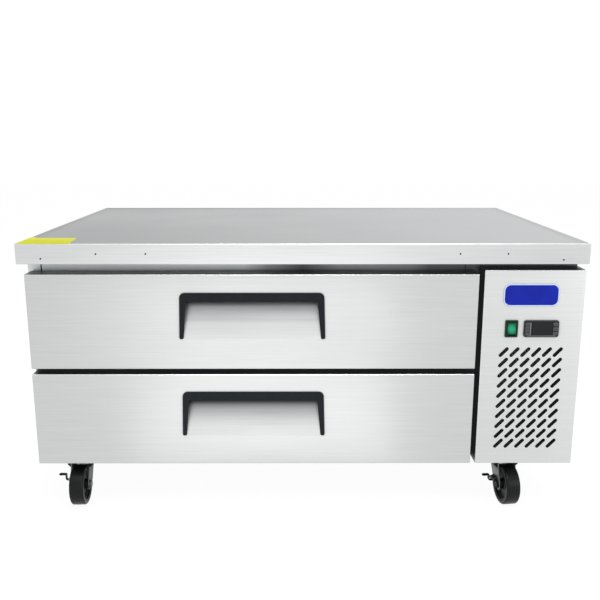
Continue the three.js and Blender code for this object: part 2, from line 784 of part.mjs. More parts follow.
// Brake lever: a sleeve on the pin, a strap that rises outwards, and a foot tab
function brakeLever() {
  const y = about(leverPinY, leverWidth);
  const elbow = [leverPinX - leverReach, leverPivotHeight + leverRise];
  const strap = prism(yAxis, [
    [leverPinX, leverPivotHeight],
    [leverPinX, leverPivotHeight + leverSheet * 2],
    [elbow[0], elbow[1] + leverSheet],
    [elbow[0] - leverSheet, elbow[1]],
  ].reverse(), y);
  const tab = box(upTo(elbow[0], tabLength), about(leverPinY, tabWidth), from(elbow[1], leverSheet));
  const sleeve = rod(yAxis, sleeveRadius, y, leverPin, 14);
  const hole = rod(yAxis, leverPinRadius + leverPinClearance, inset(y, -overrun), leverPin, 14);
  return cut(joined(sleeve, strap, tab), hole);
}

function axle() {
  const length = legOuter + seat;
  const centre = [-casterTrail, wheelRadius];
  return joined(
    rod(xAxis, axleRadius, [-length, length], centre, 12),
    rod(xAxis, boltHeadRadius, from(length, boltHeadHeight), centre, 6),
    rod(xAxis, boltHeadRadius, upTo(-length, boltHeadHeight), centre, 6),
  );
}

function casterPlate() {
  const plate = box(about(0, casterPlateLength), about(0, casterPlateWidth), [plateFoot, plateTop]);
  const raceway = rod(zAxis, racewayRadius, [plateFoot - racewayHeight, plateTop], [0, 0], 20);
  const holes = [-1, 1].flatMap((i) => [-1, 1].map((j) => rod(zAxis, boltSlotRadius,
    [plateFoot - overrun, plateTop + overrun], [i * boltSlotX, j * boltSlotY], 6)));
  return cut(joined(plate, raceway), ...holes);
}

function casters() {
  const frontY = shellY[0] + casterPlateInset + half(casterPlateWidth);
  const rearY = shellY[1] - casterPlateInset - half(casterPlateWidth);
  const leftX = topX[0] + casterLeftInset;
  const rightX = topX[1] - casterRightInset;
  const spots = [
    ['front_left', leftX, frontY],
    ['front_right', rightX, frontY],
    ['rear_left', leftX, rearY],
    ['rear_right', rightX, rearY],
  ];
  for (const [name, x, y] of spots) {
    const isFront = name.startsWith('front');
    const mount = new THREE.Group();
    mount.position.set(x, y, 0);
    object.add(mount);
    place(`${name}_caster_plate`, casterPlate(), zincSteel, mount);
    const swivel = new THREE.Group();
    swivel.rotation.z = THREE.MathUtils.degToRad(casterAngles[name]);
    mount.add(swivel);
    place(`${name}_caster_fork`, fork(isFront), zincSteel, swivel);
    place(`${name}_caster_axle`, axle(), zincSteel, swivel);
    place(`${name}_caster_wheel`, wheel().translate([0, -casterTrail, wheelRadius]), wheelRubber, swivel);
    if (isFront) {
      place(`${name}_brake_lever`, brakeLever(), blackSteel, swivel);
    }
  }
}

// A fan on the Y axis, with its bore at the back; the motor's shaft reaches this far into the hub
const shaftReach = fanHubLength - fanWebWall - seat;

function fan(centre, backY, radius) {
  const bladeRadius = radius - fanClearance;
  const y = upTo(backY, fanHubLength);
  let blades = null;
  for (let index = 0; index < bladeCount; index += 1) {
    const bladeTurn = index * 360 / bladeCount;
    const blade = box(about(0, bladeChord), about(0, bladeSheet), [half(fanHubRadius), radius + overrun])
      .rotate([0, 0, THREE.MathUtils.radToDeg(bladePitch)])
      .rotate([0, bladeTurn, 0]);
    blades = blades ? joined(blades, blade) : blade;
  }
  const sweep = rod(yAxis, bladeRadius, [-half(fanHubLength), half(fanHubLength) - bladeSetback], [0, 0], 30);
  const hub = rod(yAxis, fanHubRadius, about(0, fanHubLength), [0, 0], 16);
  const bore = rod(yAxis, shaftRadius + shaftClearance,
    [-half(fanHubLength) + fanWebWall, half(fanHubLength) + overrun], [0, 0], 12);
  return cut(joined(blades.intersect(sweep), hub), bore).translate([centre[0], middle(y), centre[1]]);
}

// A core slab with fins standing out of both its faces
function finnedCoil(x, y, z) {
  const core = about(middle(y), coilCore);
  let coil = box(x, core, z);
  const fins = Math.max(2, Math.floor((x[1] - x[0]) / finPitch));
  const pitch = (x[1] - x[0] - finSheet) / (fins - 1);
  for (let fin = 0; fin < fins; fin += 1) {
    coil = joined(coil, box(from(x[0] + fin * pitch, finSheet), y, z));
  }
  return coil;
}

// Refrigeration unit in the machine bay
function machineBay() {
  const trayX = inset(bayX, bayInset);
  const trayY = inset(shellY, trayFront, trayBack);
  const trayZ = from(insideZ[0], traySheet);
  const rimZ = [trayZ[0], trayZ[1] + trayRim];
  const tray = cut(
    box(trayX, trayY, rimZ),
    box(inset(trayX, traySheet), inset(trayY, traySheet), [trayZ[1], rimZ[1] + overrun]),
  );
  place('unit_base', tray, galvanised);

  const bedX = inset(trayX, traySheet + seat);
  const bedZ = trayZ[1] + seat;
  const coilY = from(trayY[0] + coilFromTray, coilDepth);
  const coilZ = from(bedZ, coilHeight);
  place('condenser_coil', finnedCoil(bedX, coilY, coilZ), aluminium);

  const fanCentre = [middle(bedX), middle(coilZ)];
  const shroudY = from(coilY[1] + seat, shroudDepth);
  const plateY = upTo(shroudY[1], shroudSheet);
  const motorY = from(plateY[1], motorLength);
  const duct = cut(
    box(bedX, shroudY, coilZ),
    box(inset(bedX, shroudSheet), [shroudY[0] - overrun, plateY[0]], inset(coilZ, shroudSheet)),
    rod(yAxis, bayFanRadius, inset(plateY, -overrun), fanCentre, 30),
  );
  const armY = from(plateY[0], armSheet);
  const armReach = bayFanRadius * 2 + armWidth;
  const hubBack = plateY[0] - seat;
  const shroud = joined(
    duct,
    box(about(fanCentre[0], armReach), armY, about(fanCentre[1], armWidth)),
    box(about(fanCentre[0], armWidth), armY, about(fanCentre[1], armReach)),
    rod(yAxis, motorRadius, [plateY[0], motorY[1]], fanCentre, 20),
    rod(yAxis, shaftRadius, [hubBack - shaftReach, plateY[1]], fanCentre, 12),
  );
  place('fan_shroud', shroud, galvanised);
  place('condenser_fan', fan(fanCentre, hubBack, bayFanRadius), blackPlastic);

  const pump = [middle(bayX), shellY[1] - compressorFromBack];
  const footZ = from(bedZ, footHeight);
  const plateZ = from(footZ[1], footPlateSheet);
  const shell = new THREE.LatheGeometry([
    [0, 0],
    [compressorShoulder, 0],
    [compressorRadius, half(compressorShoulder)],
    [compressorRadius, compressorHeight - compressorShoulder],
    [compressorShoulder, compressorHeight],
    [0, compressorHeight],
  ].map((point) => new THREE.Vector2(point[0], point[1])), 28);
  shell.rotateX(Math.PI / 2);
  shell.translate(pump[0], pump[1], plateZ[0]);
  const feet = [-1, 1].flatMap((i) => [-1, 1].map((j) => rod(zAxis, footRadius,
    [footZ[0], plateZ[1]], [pump[0] + i * footSpacing, pump[1] + j * footSpacing], 12)));
  const compressorTop = plateZ[0] + compressorHeight;
  const lineX = pump[0] + lineShift;
  const waistZ = plateZ[0] + half(compressorHeight);
  const terminalY = about(pump[1] + compressorRadius, compressorShoulder);
  const compressor = joined(
    solid(shell),
    box(about(pump[0], footPlate), about(pump[1], footPlate), plateZ),
    box(about(pump[0], terminalBox), terminalY, about(waistZ, terminalBox)),
    rod(zAxis, lineRadius, [waistZ, compressorTop], [lineX, pump[1]], 10),
    ...feet,
  );
  place('compressor', compressor, blackSteel);

  const lineStart = new THREE.Vector3(lineX, pump[1], compressorTop + seat);
  const lineEnd = new THREE.Vector3(lineX, middle(coilY), coilZ[1] + seat);
  const crestZ = coilZ[1] + lineRise;
  place('refrigerant_line', bentTube(lineStart, lineEnd, crestZ), copper);
}

// A round tube that rises, runs level along Y and comes down again, with a bend at each corner
function bentTube(start, end, crestZ) {
  const path = new THREE.CurvePath();
  const crest = (y) => new THREE.Vector3(start.x, y, crestZ);
  const step = Math.sign(end.y - start.y) * lineBend;
  const low = (point) => new THREE.Vector3(point.x, point.y, crestZ - lineBend);
  path.add(new THREE.LineCurve3(start, low(start)));
  path.add(new THREE.QuadraticBezierCurve3(low(start), crest(start.y), crest(start.y + step)));
  path.add(new THREE.LineCurve3(crest(start.y + step), crest(end.y - step)));
  path.add(new THREE.QuadraticBezierCurve3(crest(end.y - step), crest(end.y), low(end)));
  path.add(new THREE.LineCurve3(low(end), end));
  const section = new THREE.Shape();
  section.absarc(0, 0, lineRadius, 0, Math.PI * 2);
  return solid(new THREE.ExtrudeGeometry(section, { steps: 28, extrudePath: path, curveSegments: 4 }));
}

// Evaporator on the back wall of the cold box, behind its cover
function evaporator() {
  const x = about(middle(coldX), evaporatorWidth);
  const y = evaporatorY;
  const z = inset(coldZ, evaporatorMargin);
  const riseOf = (share) => z[0] + share * (z[1] - z[0]);
  const fanCentre = [middle(x), riseOf(evaporatorFanRiseShare)];
  const faceY = inset(from(y[0], evaporatorSheet), -overrun);
  let cover = cut(
    box(x, y, z),
    box(inset(x, evaporatorSheet), [y[0] + evaporatorSheet, y[1] + overrun], inset(z, evaporatorSheet)),
    rod(yAxis, evaporatorFanRadius, faceY, fanCentre, 24),
  );
  for (let row = 0; row < intakeSlotCount; row += 1) {
    const slotZ = z[0] + intakeSlotPitch * (row + 1);
    for (const side of [-1, 1]) {
      const slotX = middle(x) + side * intakeSlotLength * 0.75;
      cover = cut(cover, box(about(slotX, intakeSlotLength), faceY, about(slotZ, intakeSlotHeight)));
    }
  }
  place('evaporator_cover', cover, stainless);

  const coilZ = [z[0] + evaporatorCoilLift, riseOf(evaporatorCoilTopShare)];
  const coilY = upTo(y[1] - evaporatorCoilStand, evaporatorCoilDepth);
  const plateX = about(middle(x), motorPlateWidth);
  const plateY = upTo(y[1], frameSheet);
  const motorY = upTo(plateY[0], evaporatorMotorLength);
  const hubBack = motorY[0] - seat;
  const coil = joined(
    finnedCoil(inset(x, evaporatorCoilMargin), coilY, coilZ),
    box(plateX, plateY, [coilZ[0], fanCentre[1] + evaporatorMotorRadius]),
    box(plateX, [middle(coilY), y[1]], inset(coilZ, half(evaporatorCoilLift))),
    rod(yAxis, evaporatorMotorRadius, motorY, fanCentre, 18),
    rod(yAxis, shaftRadius, [hubBack - shaftReach, plateY[0]], fanCentre, 12),
  );
  place('evaporator_coil', coil, aluminium);
  place('evaporator_fan', fan(fanCentre, hubBack, evaporatorFanRadius), blackPlastic);
}

worktop();
cabinet();
drawer('drawer_upper', upperFrontZ);
drawer('drawer_lower', lowerFrontZ);
grillePanel();
rockerSwitch();
controller();
casters();
machineBay();
evaporator();

export default object;
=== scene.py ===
import json
import math

import bmesh
import bpy
from mathutils import Matrix, Vector


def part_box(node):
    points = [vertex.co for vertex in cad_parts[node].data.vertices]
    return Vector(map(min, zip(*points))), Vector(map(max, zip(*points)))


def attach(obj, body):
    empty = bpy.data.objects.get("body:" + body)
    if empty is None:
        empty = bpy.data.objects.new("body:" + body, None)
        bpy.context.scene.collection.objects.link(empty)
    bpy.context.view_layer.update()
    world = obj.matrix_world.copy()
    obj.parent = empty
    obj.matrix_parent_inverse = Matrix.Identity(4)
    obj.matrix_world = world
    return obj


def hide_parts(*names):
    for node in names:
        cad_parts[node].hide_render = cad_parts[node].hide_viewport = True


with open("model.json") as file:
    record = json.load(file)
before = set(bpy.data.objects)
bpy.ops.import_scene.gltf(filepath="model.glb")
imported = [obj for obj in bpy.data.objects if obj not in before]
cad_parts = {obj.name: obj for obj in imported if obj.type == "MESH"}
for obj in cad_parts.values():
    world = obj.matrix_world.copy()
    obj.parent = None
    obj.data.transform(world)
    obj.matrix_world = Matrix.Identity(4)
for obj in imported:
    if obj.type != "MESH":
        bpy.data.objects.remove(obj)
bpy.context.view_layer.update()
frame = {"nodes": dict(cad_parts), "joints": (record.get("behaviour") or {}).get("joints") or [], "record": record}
print("frame loaded with", len(frame["nodes"]), "nodes")

# Sizes below are millimetres; makeSolid turns them into metres. +X is right, -Y is the front, +Z is up
mm = 0.001
bodyOfNode = {node: body for body, nodes in frame["record"]["behaviour"]["bodies"].items() for node in nodes}
joints = {joint["name"]: joint for joint in frame["joints"]}
corners = ("front_left", "front_right", "rear_left", "rear_right")
drawers = ("drawer_upper", "drawer_lower")


def cadSpan(node):
    low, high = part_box(node)
    return low / mm, high / mm


# Camera: where the photograph was taken from, and its lens
photoView = {"place": (-11, -2106, 922.3), "tiltDown": 12.64, "turn": -0.14, "focalPixels": 744.5,
             "imagePixels": 600, "filmWidth": 36}


def makeCamera():
    lens = bpy.data.cameras.new("photoCamera")
    lens.sensor_width = photoView["filmWidth"]
    lens.lens = photoView["focalPixels"] / photoView["imagePixels"] * photoView["filmWidth"]
    camera = bpy.data.objects.new("photoCamera", lens)
    camera.location = Vector(photoView["place"]) * mm
    camera.rotation_euler = (math.radians(90 - photoView["tiltDown"]), 0, math.radians(photoView["turn"]))
    bpy.context.scene.collection.objects.link(camera)
    bpy.context.scene.camera = camera


# Node trees
def addNode(tree, kind, inputs=None, **settings):
    node = tree.nodes.new(kind)
    for name, value in settings.items():
        setattr(node, name, value)
    for name, value in (inputs or {}).items():
        if isinstance(value, bpy.types.NodeSocket):
            tree.links.new(value, node.inputs[name])
        else:
            node.inputs[name].default_value = value
    return node


def hexToLinear(code):
    channels = [int(code[place:place + 2], 16) / 255 for place in (1, 3, 5)]
    linear = [c / 12.92 if c <= 0.04045 else ((c + 0.055) / 1.055) ** 2.4 for c in channels]
    return (*linear, 1)


# Shapes in millimetres
axes = {
    "x": (Vector((0, 1, 0)), Vector((0, 0, 1)), Vector((1, 0, 0))),
    "y": (Vector((1, 0, 0)), Vector((0, 0, 1)), Vector((0, 1, 0))),
    "z": (Vector((1, 0, 0)), Vector((0, 1, 0)), Vector((0, 0, 1))),
}


def onAxis(axis, centre, across, up, along):
    first, second, third = axes[axis]
    return Vector(centre) + first * across + second * up + third * along


def arc(centre, radius, start, end, steps=5):
    turns = [math.radians(start + (end - start) * step / steps) for step in range(steps + 1)]
    return [(centre[0] + radius * math.cos(turn), centre[1] + radius * math.sin(turn)) for turn in turns]


# Corners are (across, up, radius): each is rounded by an arc of that radius, as far as its sides allow
fillets = {"straight": 0.01, "sideShare": 0.49}


def filleted(outline, steps=5):
    rounded = []
    for index, (across, up, radius) in enumerate(outline):
        corner = Vector((across, up))
        before = Vector(outline[index - 1][:2]) - corner
        after = Vector(outline[(index + 1) % len(outline)][:2]) - corner
        spread = before.angle(after) / 2
        if radius <= 0 or abs(spread - math.pi / 2) < fillets["straight"]:
            rounded.append(tuple(corner))
            continue
        longest = min(before.length, after.length) * fillets["sideShare"]
        reach = min(radius / math.tan(spread), longest)
        radius = reach * math.tan(spread)
        inward = (before.normalized() + after.normalized()).normalized()
        centre = corner + inward * radius / math.sin(spread)
        first = corner + before.normalized() * reach - centre
        last = corner + after.normalized() * reach - centre
        sweep = first.angle(last)
        for step in range(steps + 1):
            share = step / steps
            swung = first * math.sin((1 - share) * sweep) + last * math.sin(share * sweep)
            rounded.append(tuple(centre + swung / math.sin(sweep)))
    return rounded


# A ring round a rounded rectangle; even a sharp corner keeps a small radius, so its points stay apart
smallestRound = 0.05


def ringOf(axis, centre, halfAcross, halfUp, radius, along, steps=6):
    radius = max(min(radius, halfAcross, halfUp), smallestRound)
    ring = []
    for quarter, (right, top) in enumerate(((1, 1), (-1, 1), (-1, -1), (1, -1))):
        for step in range(steps + 1):
            turn = (quarter + step / steps) * math.pi / 2
            across = right * (halfAcross - radius) + radius * math.cos(turn)
            up = top * (halfUp - radius) + radius * math.sin(turn)
            ring.append(onAxis(axis, centre, across, up, along))
    return ring


def loft(rings, closed=False):
    count = len(rings[0])
    faces = []
    for ring in range(len(rings) if closed else len(rings) - 1):
        low = ring * count
        high = (ring + 1) % len(rings) * count
        for step in range(count):
            after = (step + 1) % count
            faces.append((low + step, low + after, high + after, high + step))
    if not closed:
        faces.append(tuple(range(count)))
        faces.append(tuple(range((len(rings) - 1) * count, len(rings) * count)))
    return [point for ring in rings for point in ring], faces


# A profile of (radius, along) points turned about an axis
def lathe(axis, centre, profile, sides=32, closed=False):
    turns = [step / sides * math.tau for step in range(sides)]
    rings = [[onAxis(axis, centre, radius * math.cos(turn), radius * math.sin(turn), along) for turn in turns]
             for radius, along in profile]
    return loft(rings, closed)


def prism(axis, centre, outline, low, high):
    return loft([[onAxis(axis, centre, across, up, along) for across, up in outline]
                 for along in (low, high)])


# A block with rounded plan corners and rounded edges at both ends of its axis
def slab(axis, centre, halfAcross, halfUp, low, high, corner, edge, steps=3):
    foot = [(edge - across, low + edge + up) for across, up in arc((0, 0), edge, -90, 0, steps)]
    head = [(edge - across, high - edge + up) for across, up in arc((0, 0), edge, 0, 90, steps)]
    return loft([ringOf(axis, centre, halfAcross - inset, halfUp - inset, corner - inset, along, steps)
                 for inset, along in foot + head])


def joinShapes(*shapes):
    points, faces = [], []
    for shapePoints, shapeFaces in shapes:
        faces += [tuple(index + len(points) for index in face) for face in shapeFaces]
        points += shapePoints
    return points, faces


def turned(shape, matrix):
    return [matrix @ point for point in shape[0]], shape[1]


# Points closer than mergeWithin (mm) are made one, and faces within flatWithin degrees one flat face
mergeWithin = 0.002
flatWithin = 1


def makeSolid(name, shape):
    mesh = bpy.data.meshes.new(name)
    mesh.from_pydata([tuple(point * mm) for point in shape[0]], [], shape[1])
    solid = bmesh.new()
    solid.from_mesh(mesh)
    bmesh.ops.remove_doubles(solid, verts=solid.verts, dist=mergeWithin * mm)
    bmesh.ops.recalc_face_normals(solid, faces=solid.faces)
    solid.to_mesh(mesh)
    solid.free()
    piece = bpy.data.objects.new(name, mesh)
    bpy.context.scene.collection.objects.link(piece)
    return piece


# Turns what the modifiers give into the piece's own plain mesh
def settle(piece):
    state = bpy.context.evaluated_depsgraph_get()
    mesh = bpy.data.meshes.new_from_object(
        piece.evaluated_get(state), preserve_all_data_layers=True, depsgraph=state)
    piece.modifiers.clear()
    piece.data = mesh


def combine(piece, other, operation):
    change = piece.modifiers.new("combine", "BOOLEAN")
    change.operation = operation
    change.solver = "EXACT"
    change.object = other
    settle(piece)
    bpy.data.objects.remove(other)


def soften(piece, width, segments=2, angle=32):
    edge = piece.modifiers.new("edge", "BEVEL")
    edge.width = width * mm
    edge.segments = segments
    edge.limit_method = "ANGLE"
    edge.angle_limit = math.radians(angle)
    settle(piece)


# A copy of a CAD node's solid with its loose triangles merged into whole faces and its edges rounded
def finishedCopy(node, width, segments=2):
    source = frame["nodes"][node].data
    solid = bmesh.new()
    solid.from_mesh(source)
    bmesh.ops.remove_doubles(solid, verts=solid.verts, dist=mergeWithin * mm)
    bmesh.ops.dissolve_limit(
        solid, angle_limit=math.radians(flatWithin), verts=solid.verts, edges=solid.edges)
    points = [vertex.co / mm for vertex in solid.verts]
    faces = [tuple(vertex.index for vertex in face.verts) for face in solid.faces]
    solid.free()
    piece = makeSolid(node + "Finish", (points, faces))
    soften(piece, width, segments)
    return piece


# Cuts a piece's faces along a plane, so that the two sides can be painted apart
def splitFaces(piece, place, normal):
    solid = bmesh.new()
    solid.from_mesh(piece.data)
    everything = solid.verts[:] + solid.edges[:] + solid.faces[:]
    bmesh.ops.bisect_plane(solid, geom=everything, plane_co=Vector(place) * mm, plane_no=normal)
    solid.to_mesh(piece.data)
    solid.free()


def paint(piece, materials, choose=None):
    piece.data.materials.clear()
    for material in materials:
        piece.data.materials.append(material)
    for face in piece.data.polygons:
        face.material_index = choose(face.center / mm, face.normal) if choose else 0


def smooth(piece, angle=35):
    piece.data.shade_smooth()
    piece.data.set_sharp_from_angle(angle=math.radians(angle))
    solid = bmesh.new()
    solid.from_mesh(piece.data)
    for edge in solid.edges:
        if len({face.material_index for face in edge.link_faces}) > 1:
            edge.smooth = False
    solid.to_mesh(piece.data)
    solid.free()
    weight = piece.modifiers.new("flat faces", "WEIGHTED_NORMAL")
    weight.keep_sharp = True
    settle(piece)


# Gives a finished piece its shading and its body, and hides the CAD nodes that it stands for
def dress(piece, body, nodes=(), angle=35):
    smooth(piece, angle)
    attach(piece, body)
    if nodes:
        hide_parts(*nodes)


# Geometry Nodes trees for what repeats
def newPattern(name, sizes):
    tree = bpy.data.node_groups.new(name, "GeometryNodeTree")
    tree.interface.new_socket("Geometry", in_out="INPUT", socket_type="NodeSocketGeometry")
    for label, kind in sizes.items():
        tree.interface.new_socket(label, in_out="INPUT", socket_type="NodeSocket" + kind)
    tree.interface.new_socket("Geometry", in_out="OUTPUT", socket_type="NodeSocketGeometry")
    return tree, addNode(tree, "NodeGroupInput").outputs


def endPattern(tree, instances, finish):
    real = addNode(tree, "GeometryNodeRealizeInstances", {"Geometry": instances})
    painted = addNode(tree, "GeometryNodeSetMaterial", {"Geometry": real.outputs[0], "Material": finish})
    addNode(tree, "NodeGroupOutput", {"Geometry": painted.outputs[0]})
    return tree


# Punches: round-ended bars in rows and columns, turned by one angle, across the Y axis
def punchPattern():
    tree, sizes = newPattern("punches", {
        "Columns": "Int", "Rows": "Int", "Pitch Across": "Float", "Pitch Up": "Float", "Length": "Float",
        "Width": "Float", "Corner": "Float", "Angle": "Float", "Depth": "Float", "Centre": "Vector",
        "Finish": "Material"})
    fewer = [addNode(tree, "ShaderNodeMath", {0: sizes[label], 1: 1}, operation="SUBTRACT")
             for label in ("Columns", "Rows")]
    reach = [addNode(tree, "ShaderNodeMath", {0: less.outputs[0], 1: sizes[label]}, operation="MULTIPLY")
             for less, label in zip(fewer, ("Pitch Across", "Pitch Up"))]
    grid = addNode(tree, "GeometryNodeMeshGrid", {
        "Size X": reach[0].outputs[0], "Size Y": reach[1].outputs[0], "Vertices X": sizes["Columns"],
        "Vertices Y": sizes["Rows"]})
    bar = addNode(tree, "GeometryNodeCurvePrimitiveQuadrilateral", {
        "Width": sizes["Length"], "Height": sizes["Width"]})
    ends = addNode(tree, "GeometryNodeFilletCurve", {
        "Curve": bar.outputs[0], "Count": 5, "Radius": sizes["Corner"], "Limit Radius": True}, mode="POLY")
    deep = addNode(tree, "ShaderNodeCombineXYZ", {"Z": sizes["Depth"]})
    line = addNode(tree, "GeometryNodeCurvePrimitiveLine", {"End": deep.outputs[0]})
    punch = addNode(tree, "GeometryNodeCurveToMesh", {
        "Curve": line.outputs[0], "Profile Curve": ends.outputs[0], "Fill Caps": True})
    turn = addNode(tree, "ShaderNodeCombineXYZ", {"Z": sizes["Angle"]})
    spread = addNode(tree, "GeometryNodeInstanceOnPoints", {
        "Points": grid.outputs[0], "Instance": punch.outputs[0], "Rotation": turn.outputs[0]})
    stood = addNode(tree, "GeometryNodeTransform", {
        "Geometry": spread.outputs[0], "Rotation": (math.pi / 2, 0, 0), "Translation": sizes["Centre"]})
    return endPattern(tree, stood.outputs[0], sizes["Finish"])


# Rows: one item in columns and rows with a step each way
def rowPattern():
    tree, sizes = newPattern("rows", {
        "Item": "Object", "Columns": "Int", "Rows": "Int", "Start": "Vector", "Step Across": "Vector",
        "Step Up": "Vector", "Finish": "Material"})
    item = addNode(tree, "GeometryNodeObjectInfo", {"Object": sizes["Item"]})
    across = addNode(tree, "GeometryNodeMeshLine", {
        "Count": sizes["Columns"], "Offset": sizes["Step Across"]}, mode="OFFSET")
    up = addNode(tree, "GeometryNodeMeshLine", {
        "Count": sizes["Rows"], "Start Location": sizes["Start"], "Offset": sizes["Step Up"]}, mode="OFFSET")
    field = addNode(tree, "GeometryNodeInstanceOnPoints", {
        "Points": up.outputs[0], "Instance": across.outputs[0]})
    points = addNode(tree, "GeometryNodeRealizeInstances", {"Geometry": field.outputs[0]})
    spread = addNode(tree, "GeometryNodeInstanceOnPoints", {
        "Points": points.outputs[0], "Instance": item.outputs["Geometry"]})
    return endPattern(tree, spread.outputs[0], sizes["Finish"])


# Scatter: one item on each point of the host mesh
def scatterPattern():
    tree, sizes = newPattern("scatter", {"Item": "Object", "Finish": "Material"})
    item = addNode(tree, "GeometryNodeObjectInfo", {"Object": sizes["Item"]})
    spread = addNode(tree, "GeometryNodeInstanceOnPoints", {
        "Points": sizes["Geometry"], "Instance": item.outputs["Geometry"]})
    return endPattern(tree, spread.outputs[0], sizes["Finish"])


def grow(name, tree, values, points=()):
    host = bpy.data.meshes.new(name)
    host.from_pydata([tuple(Vector(point) * mm) for point in points], [], [])
    piece = bpy.data.objects.new(name, host)
    bpy.context.scene.collection.objects.link(piece)
    pattern = piece.modifiers.new("pattern", "NODES")
    pattern.node_group = tree
    for socket in tree.interface.items_tree:
        if socket.in_out == "INPUT" and socket.name in values:
            pattern[socket.identifier] = values[socket.name]
    settle(piece)
    if "Item" in values:
        bpy.data.objects.remove(values["Item"])
    return piece


# Materials
def newMaterial(name, colour, metallic, roughness):
    material = bpy.data.materials.new(name)
    material.use_nodes = True
    shader = material.node_tree.nodes["Principled BSDF"]
    shader.inputs["Base Color"].default_value = hexToLinear(colour)
    shader.inputs["Metallic"].default_value = metallic
    shader.inputs["Roughness"].default_value = roughness
    return material, material.node_tree, shader


# Noise whose grains have a real size, in millimetres: one for all axes or one for each
def grainOf(tree, size, detail=2.0):
    size = size if isinstance(size, tuple) else (size, size, size)
    place = addNode(tree, "ShaderNodeTexCoord")
    scale = tuple(1 / (length * mm) for length in size)
    stretched = addNode(tree, "ShaderNodeMapping", {"Vector": place.outputs["Object"], "Scale": scale})
    return addNode(tree, "ShaderNodeTexNoise", {
        "Vector": stretched.outputs[0], "Scale": 1.0, "Detail": detail, "Roughness": 0.55}).outputs[0]


def blendColours(tree, share, first, second):
    return addNode(tree, "ShaderNodeMix", {0: share, 6: hexToLinear(first), 7: hexToLinear(second)},
                   data_type="RGBA").outputs[2]


# Noise seldom leaves this range, which is spread from low to high
noiseRange = (0.3, 0.7)


def spreadOver(tree, share, low=0.0, high=1.0):
    return addNode(tree, "ShaderNodeMapRange", {
        "Value": share, "From Min": noiseRange[0], "From Max": noiseRange[1], "To Min": low,
        "To Max": high}).outputs[0]


def bumpOf(tree, height, depth, strength=1.0):
    return addNode(tree, "ShaderNodeBump", {
        "Height": height, "Strength": strength, "Distance": depth * mm}).outputs[0]


# Two tones and a gloss that drift over a surface with the same noise
def drift(tree, shader, clouds, tones, glosses):
    colour = blendColours(tree, spreadOver(tree, clouds), *tones)
    tree.links.new(colour, shader.inputs["Base Color"])
    tree.links.new(spreadOver(tree, clouds, *glosses), shader.inputs["Roughness"])


# Painted shade: deep in a gap steel mirrors only its neighbours, so the ambient occlusion below mixes it
# towards a dark emission there. openAbove and darkBelow are shares of open space within reach, and most is
# how far the painted shade may go
gapShade = {"reach": 70, "openAbove": 0.95, "darkBelow": 0.26, "most": 0.94, "samples": 8,
            "colour": "#171b1b"}


def paintShadeInGaps(tree, shader):
    openness = addNode(tree, "ShaderNodeAmbientOcclusion", {"Distance": gapShade["reach"] * mm},
                       samples=gapShade["samples"])
    closed = addNode(tree, "ShaderNodeMapRange", {
        "Value": openness.outputs["AO"], "From Min": gapShade["darkBelow"], "From Max": gapShade["openAbove"],
        "To Min": gapShade["most"], "To Max": 0.0})
    dark = addNode(tree, "ShaderNodeEmission", {"Color": hexToLinear(gapShade["colour"])})
    mixed = addNode(tree, "ShaderNodeMixShader", {
        0: closed.outputs[0], 1: shader.outputs[0], 2: dark.outputs[0]})
    tree.links.new(mixed.outputs[0], tree.nodes["Material Output"].inputs["Surface"])


# A colour that changes slowly along a direction: stops are (millimetres, colour)
def toneAlong(tree, direction, stops):
    place = addNode(tree, "ShaderNodeTexCoord")
    along = addNode(tree, "ShaderNodeVectorMath", {0: place.outputs["Object"], 1: direction},
                    operation="DOT_PRODUCT").outputs["Value"]
    first, last = stops[0][0], stops[-1][0]
    share = addNode(tree, "ShaderNodeMapRange", {
        "Value": along, "From Min": first * mm, "From Max": last * mm})
    ramp = addNode(tree, "ShaderNodeValToRGB", {"Fac": share.outputs[0]})
    ends = ramp.color_ramp.elements
    for stop in stops[1:-1]:
        ends.new((stop[0] - first) / (last - first))
    for end, stop in zip(ends, stops):
        end.color = hexToLinear(stop[1])
    return ramp.outputs["Color"]


# Brushed 304 stainless: fine parallel scratches, drawn about 2 mm wide, as finer ones would not show.
# Its tone may run along a direction: painted light and reflection, for what that face mirrors in a shop.
# With inGaps it also gets painted shade in its gaps
brushing = {"toneEnd": 700, "cloud": 260, "scratchShare": 0.6, "unevenFrom": 0.5, "unevenTo": 1.1,
            "shinier": 0.05, "duller": 0.06, "depth": 0.02, "strength": 0.35}


def brushedStainless(name, tone, roughness, grain, inGaps=True, direction=(1, 0, 0)):
    end = brushing["toneEnd"]
    stops = [(-end, tone), (end, tone)] if isinstance(tone, str) else tone
    material, tree, shader = newMaterial(name, stops[0][1], 1.0, roughness)
    if inGaps:
        paintShadeInGaps(tree, shader)
    scratches = grainOf(tree, grain, 3.0)
    clouds = grainOf(tree, brushing["cloud"], 1.0)
    streak = blendColours(tree, spreadOver(tree, scratches), "#f6f6f6", "#ffffff")
    steel = addNode(tree, "ShaderNodeMix", {0: 1.0, 6: toneAlong(tree, direction, stops), 7: streak},
                    data_type="RGBA", blend_type="MULTIPLY")
    tree.links.new(steel.outputs[2], shader.inputs["Base Color"])
    uneven = addNode(tree, "ShaderNodeMath", {0: scratches, 1: brushing["scratchShare"], 2: clouds},
                     operation="MULTIPLY_ADD")
    sheen = addNode(tree, "ShaderNodeMapRange", {
        "Value": uneven.outputs[0], "From Min": brushing["unevenFrom"], "From Max": brushing["unevenTo"],
        "To Min": roughness - brushing["shinier"], "To Max": roughness + brushing["duller"]})
    tree.links.new(sheen.outputs[0], shader.inputs["Roughness"])
    scratched = bumpOf(tree, scratches, brushing["depth"], brushing["strength"])
    tree.links.new(scratched, shader.inputs["Normal"])
    return material


# Hot-dip galvanised steel: grey zinc crystals about 9 mm across, each with its own tone and gloss
spangle = {"width": 9, "tones": ("#a2a8ab", "#b5babc"), "glosses": (0.42, 0.5)}


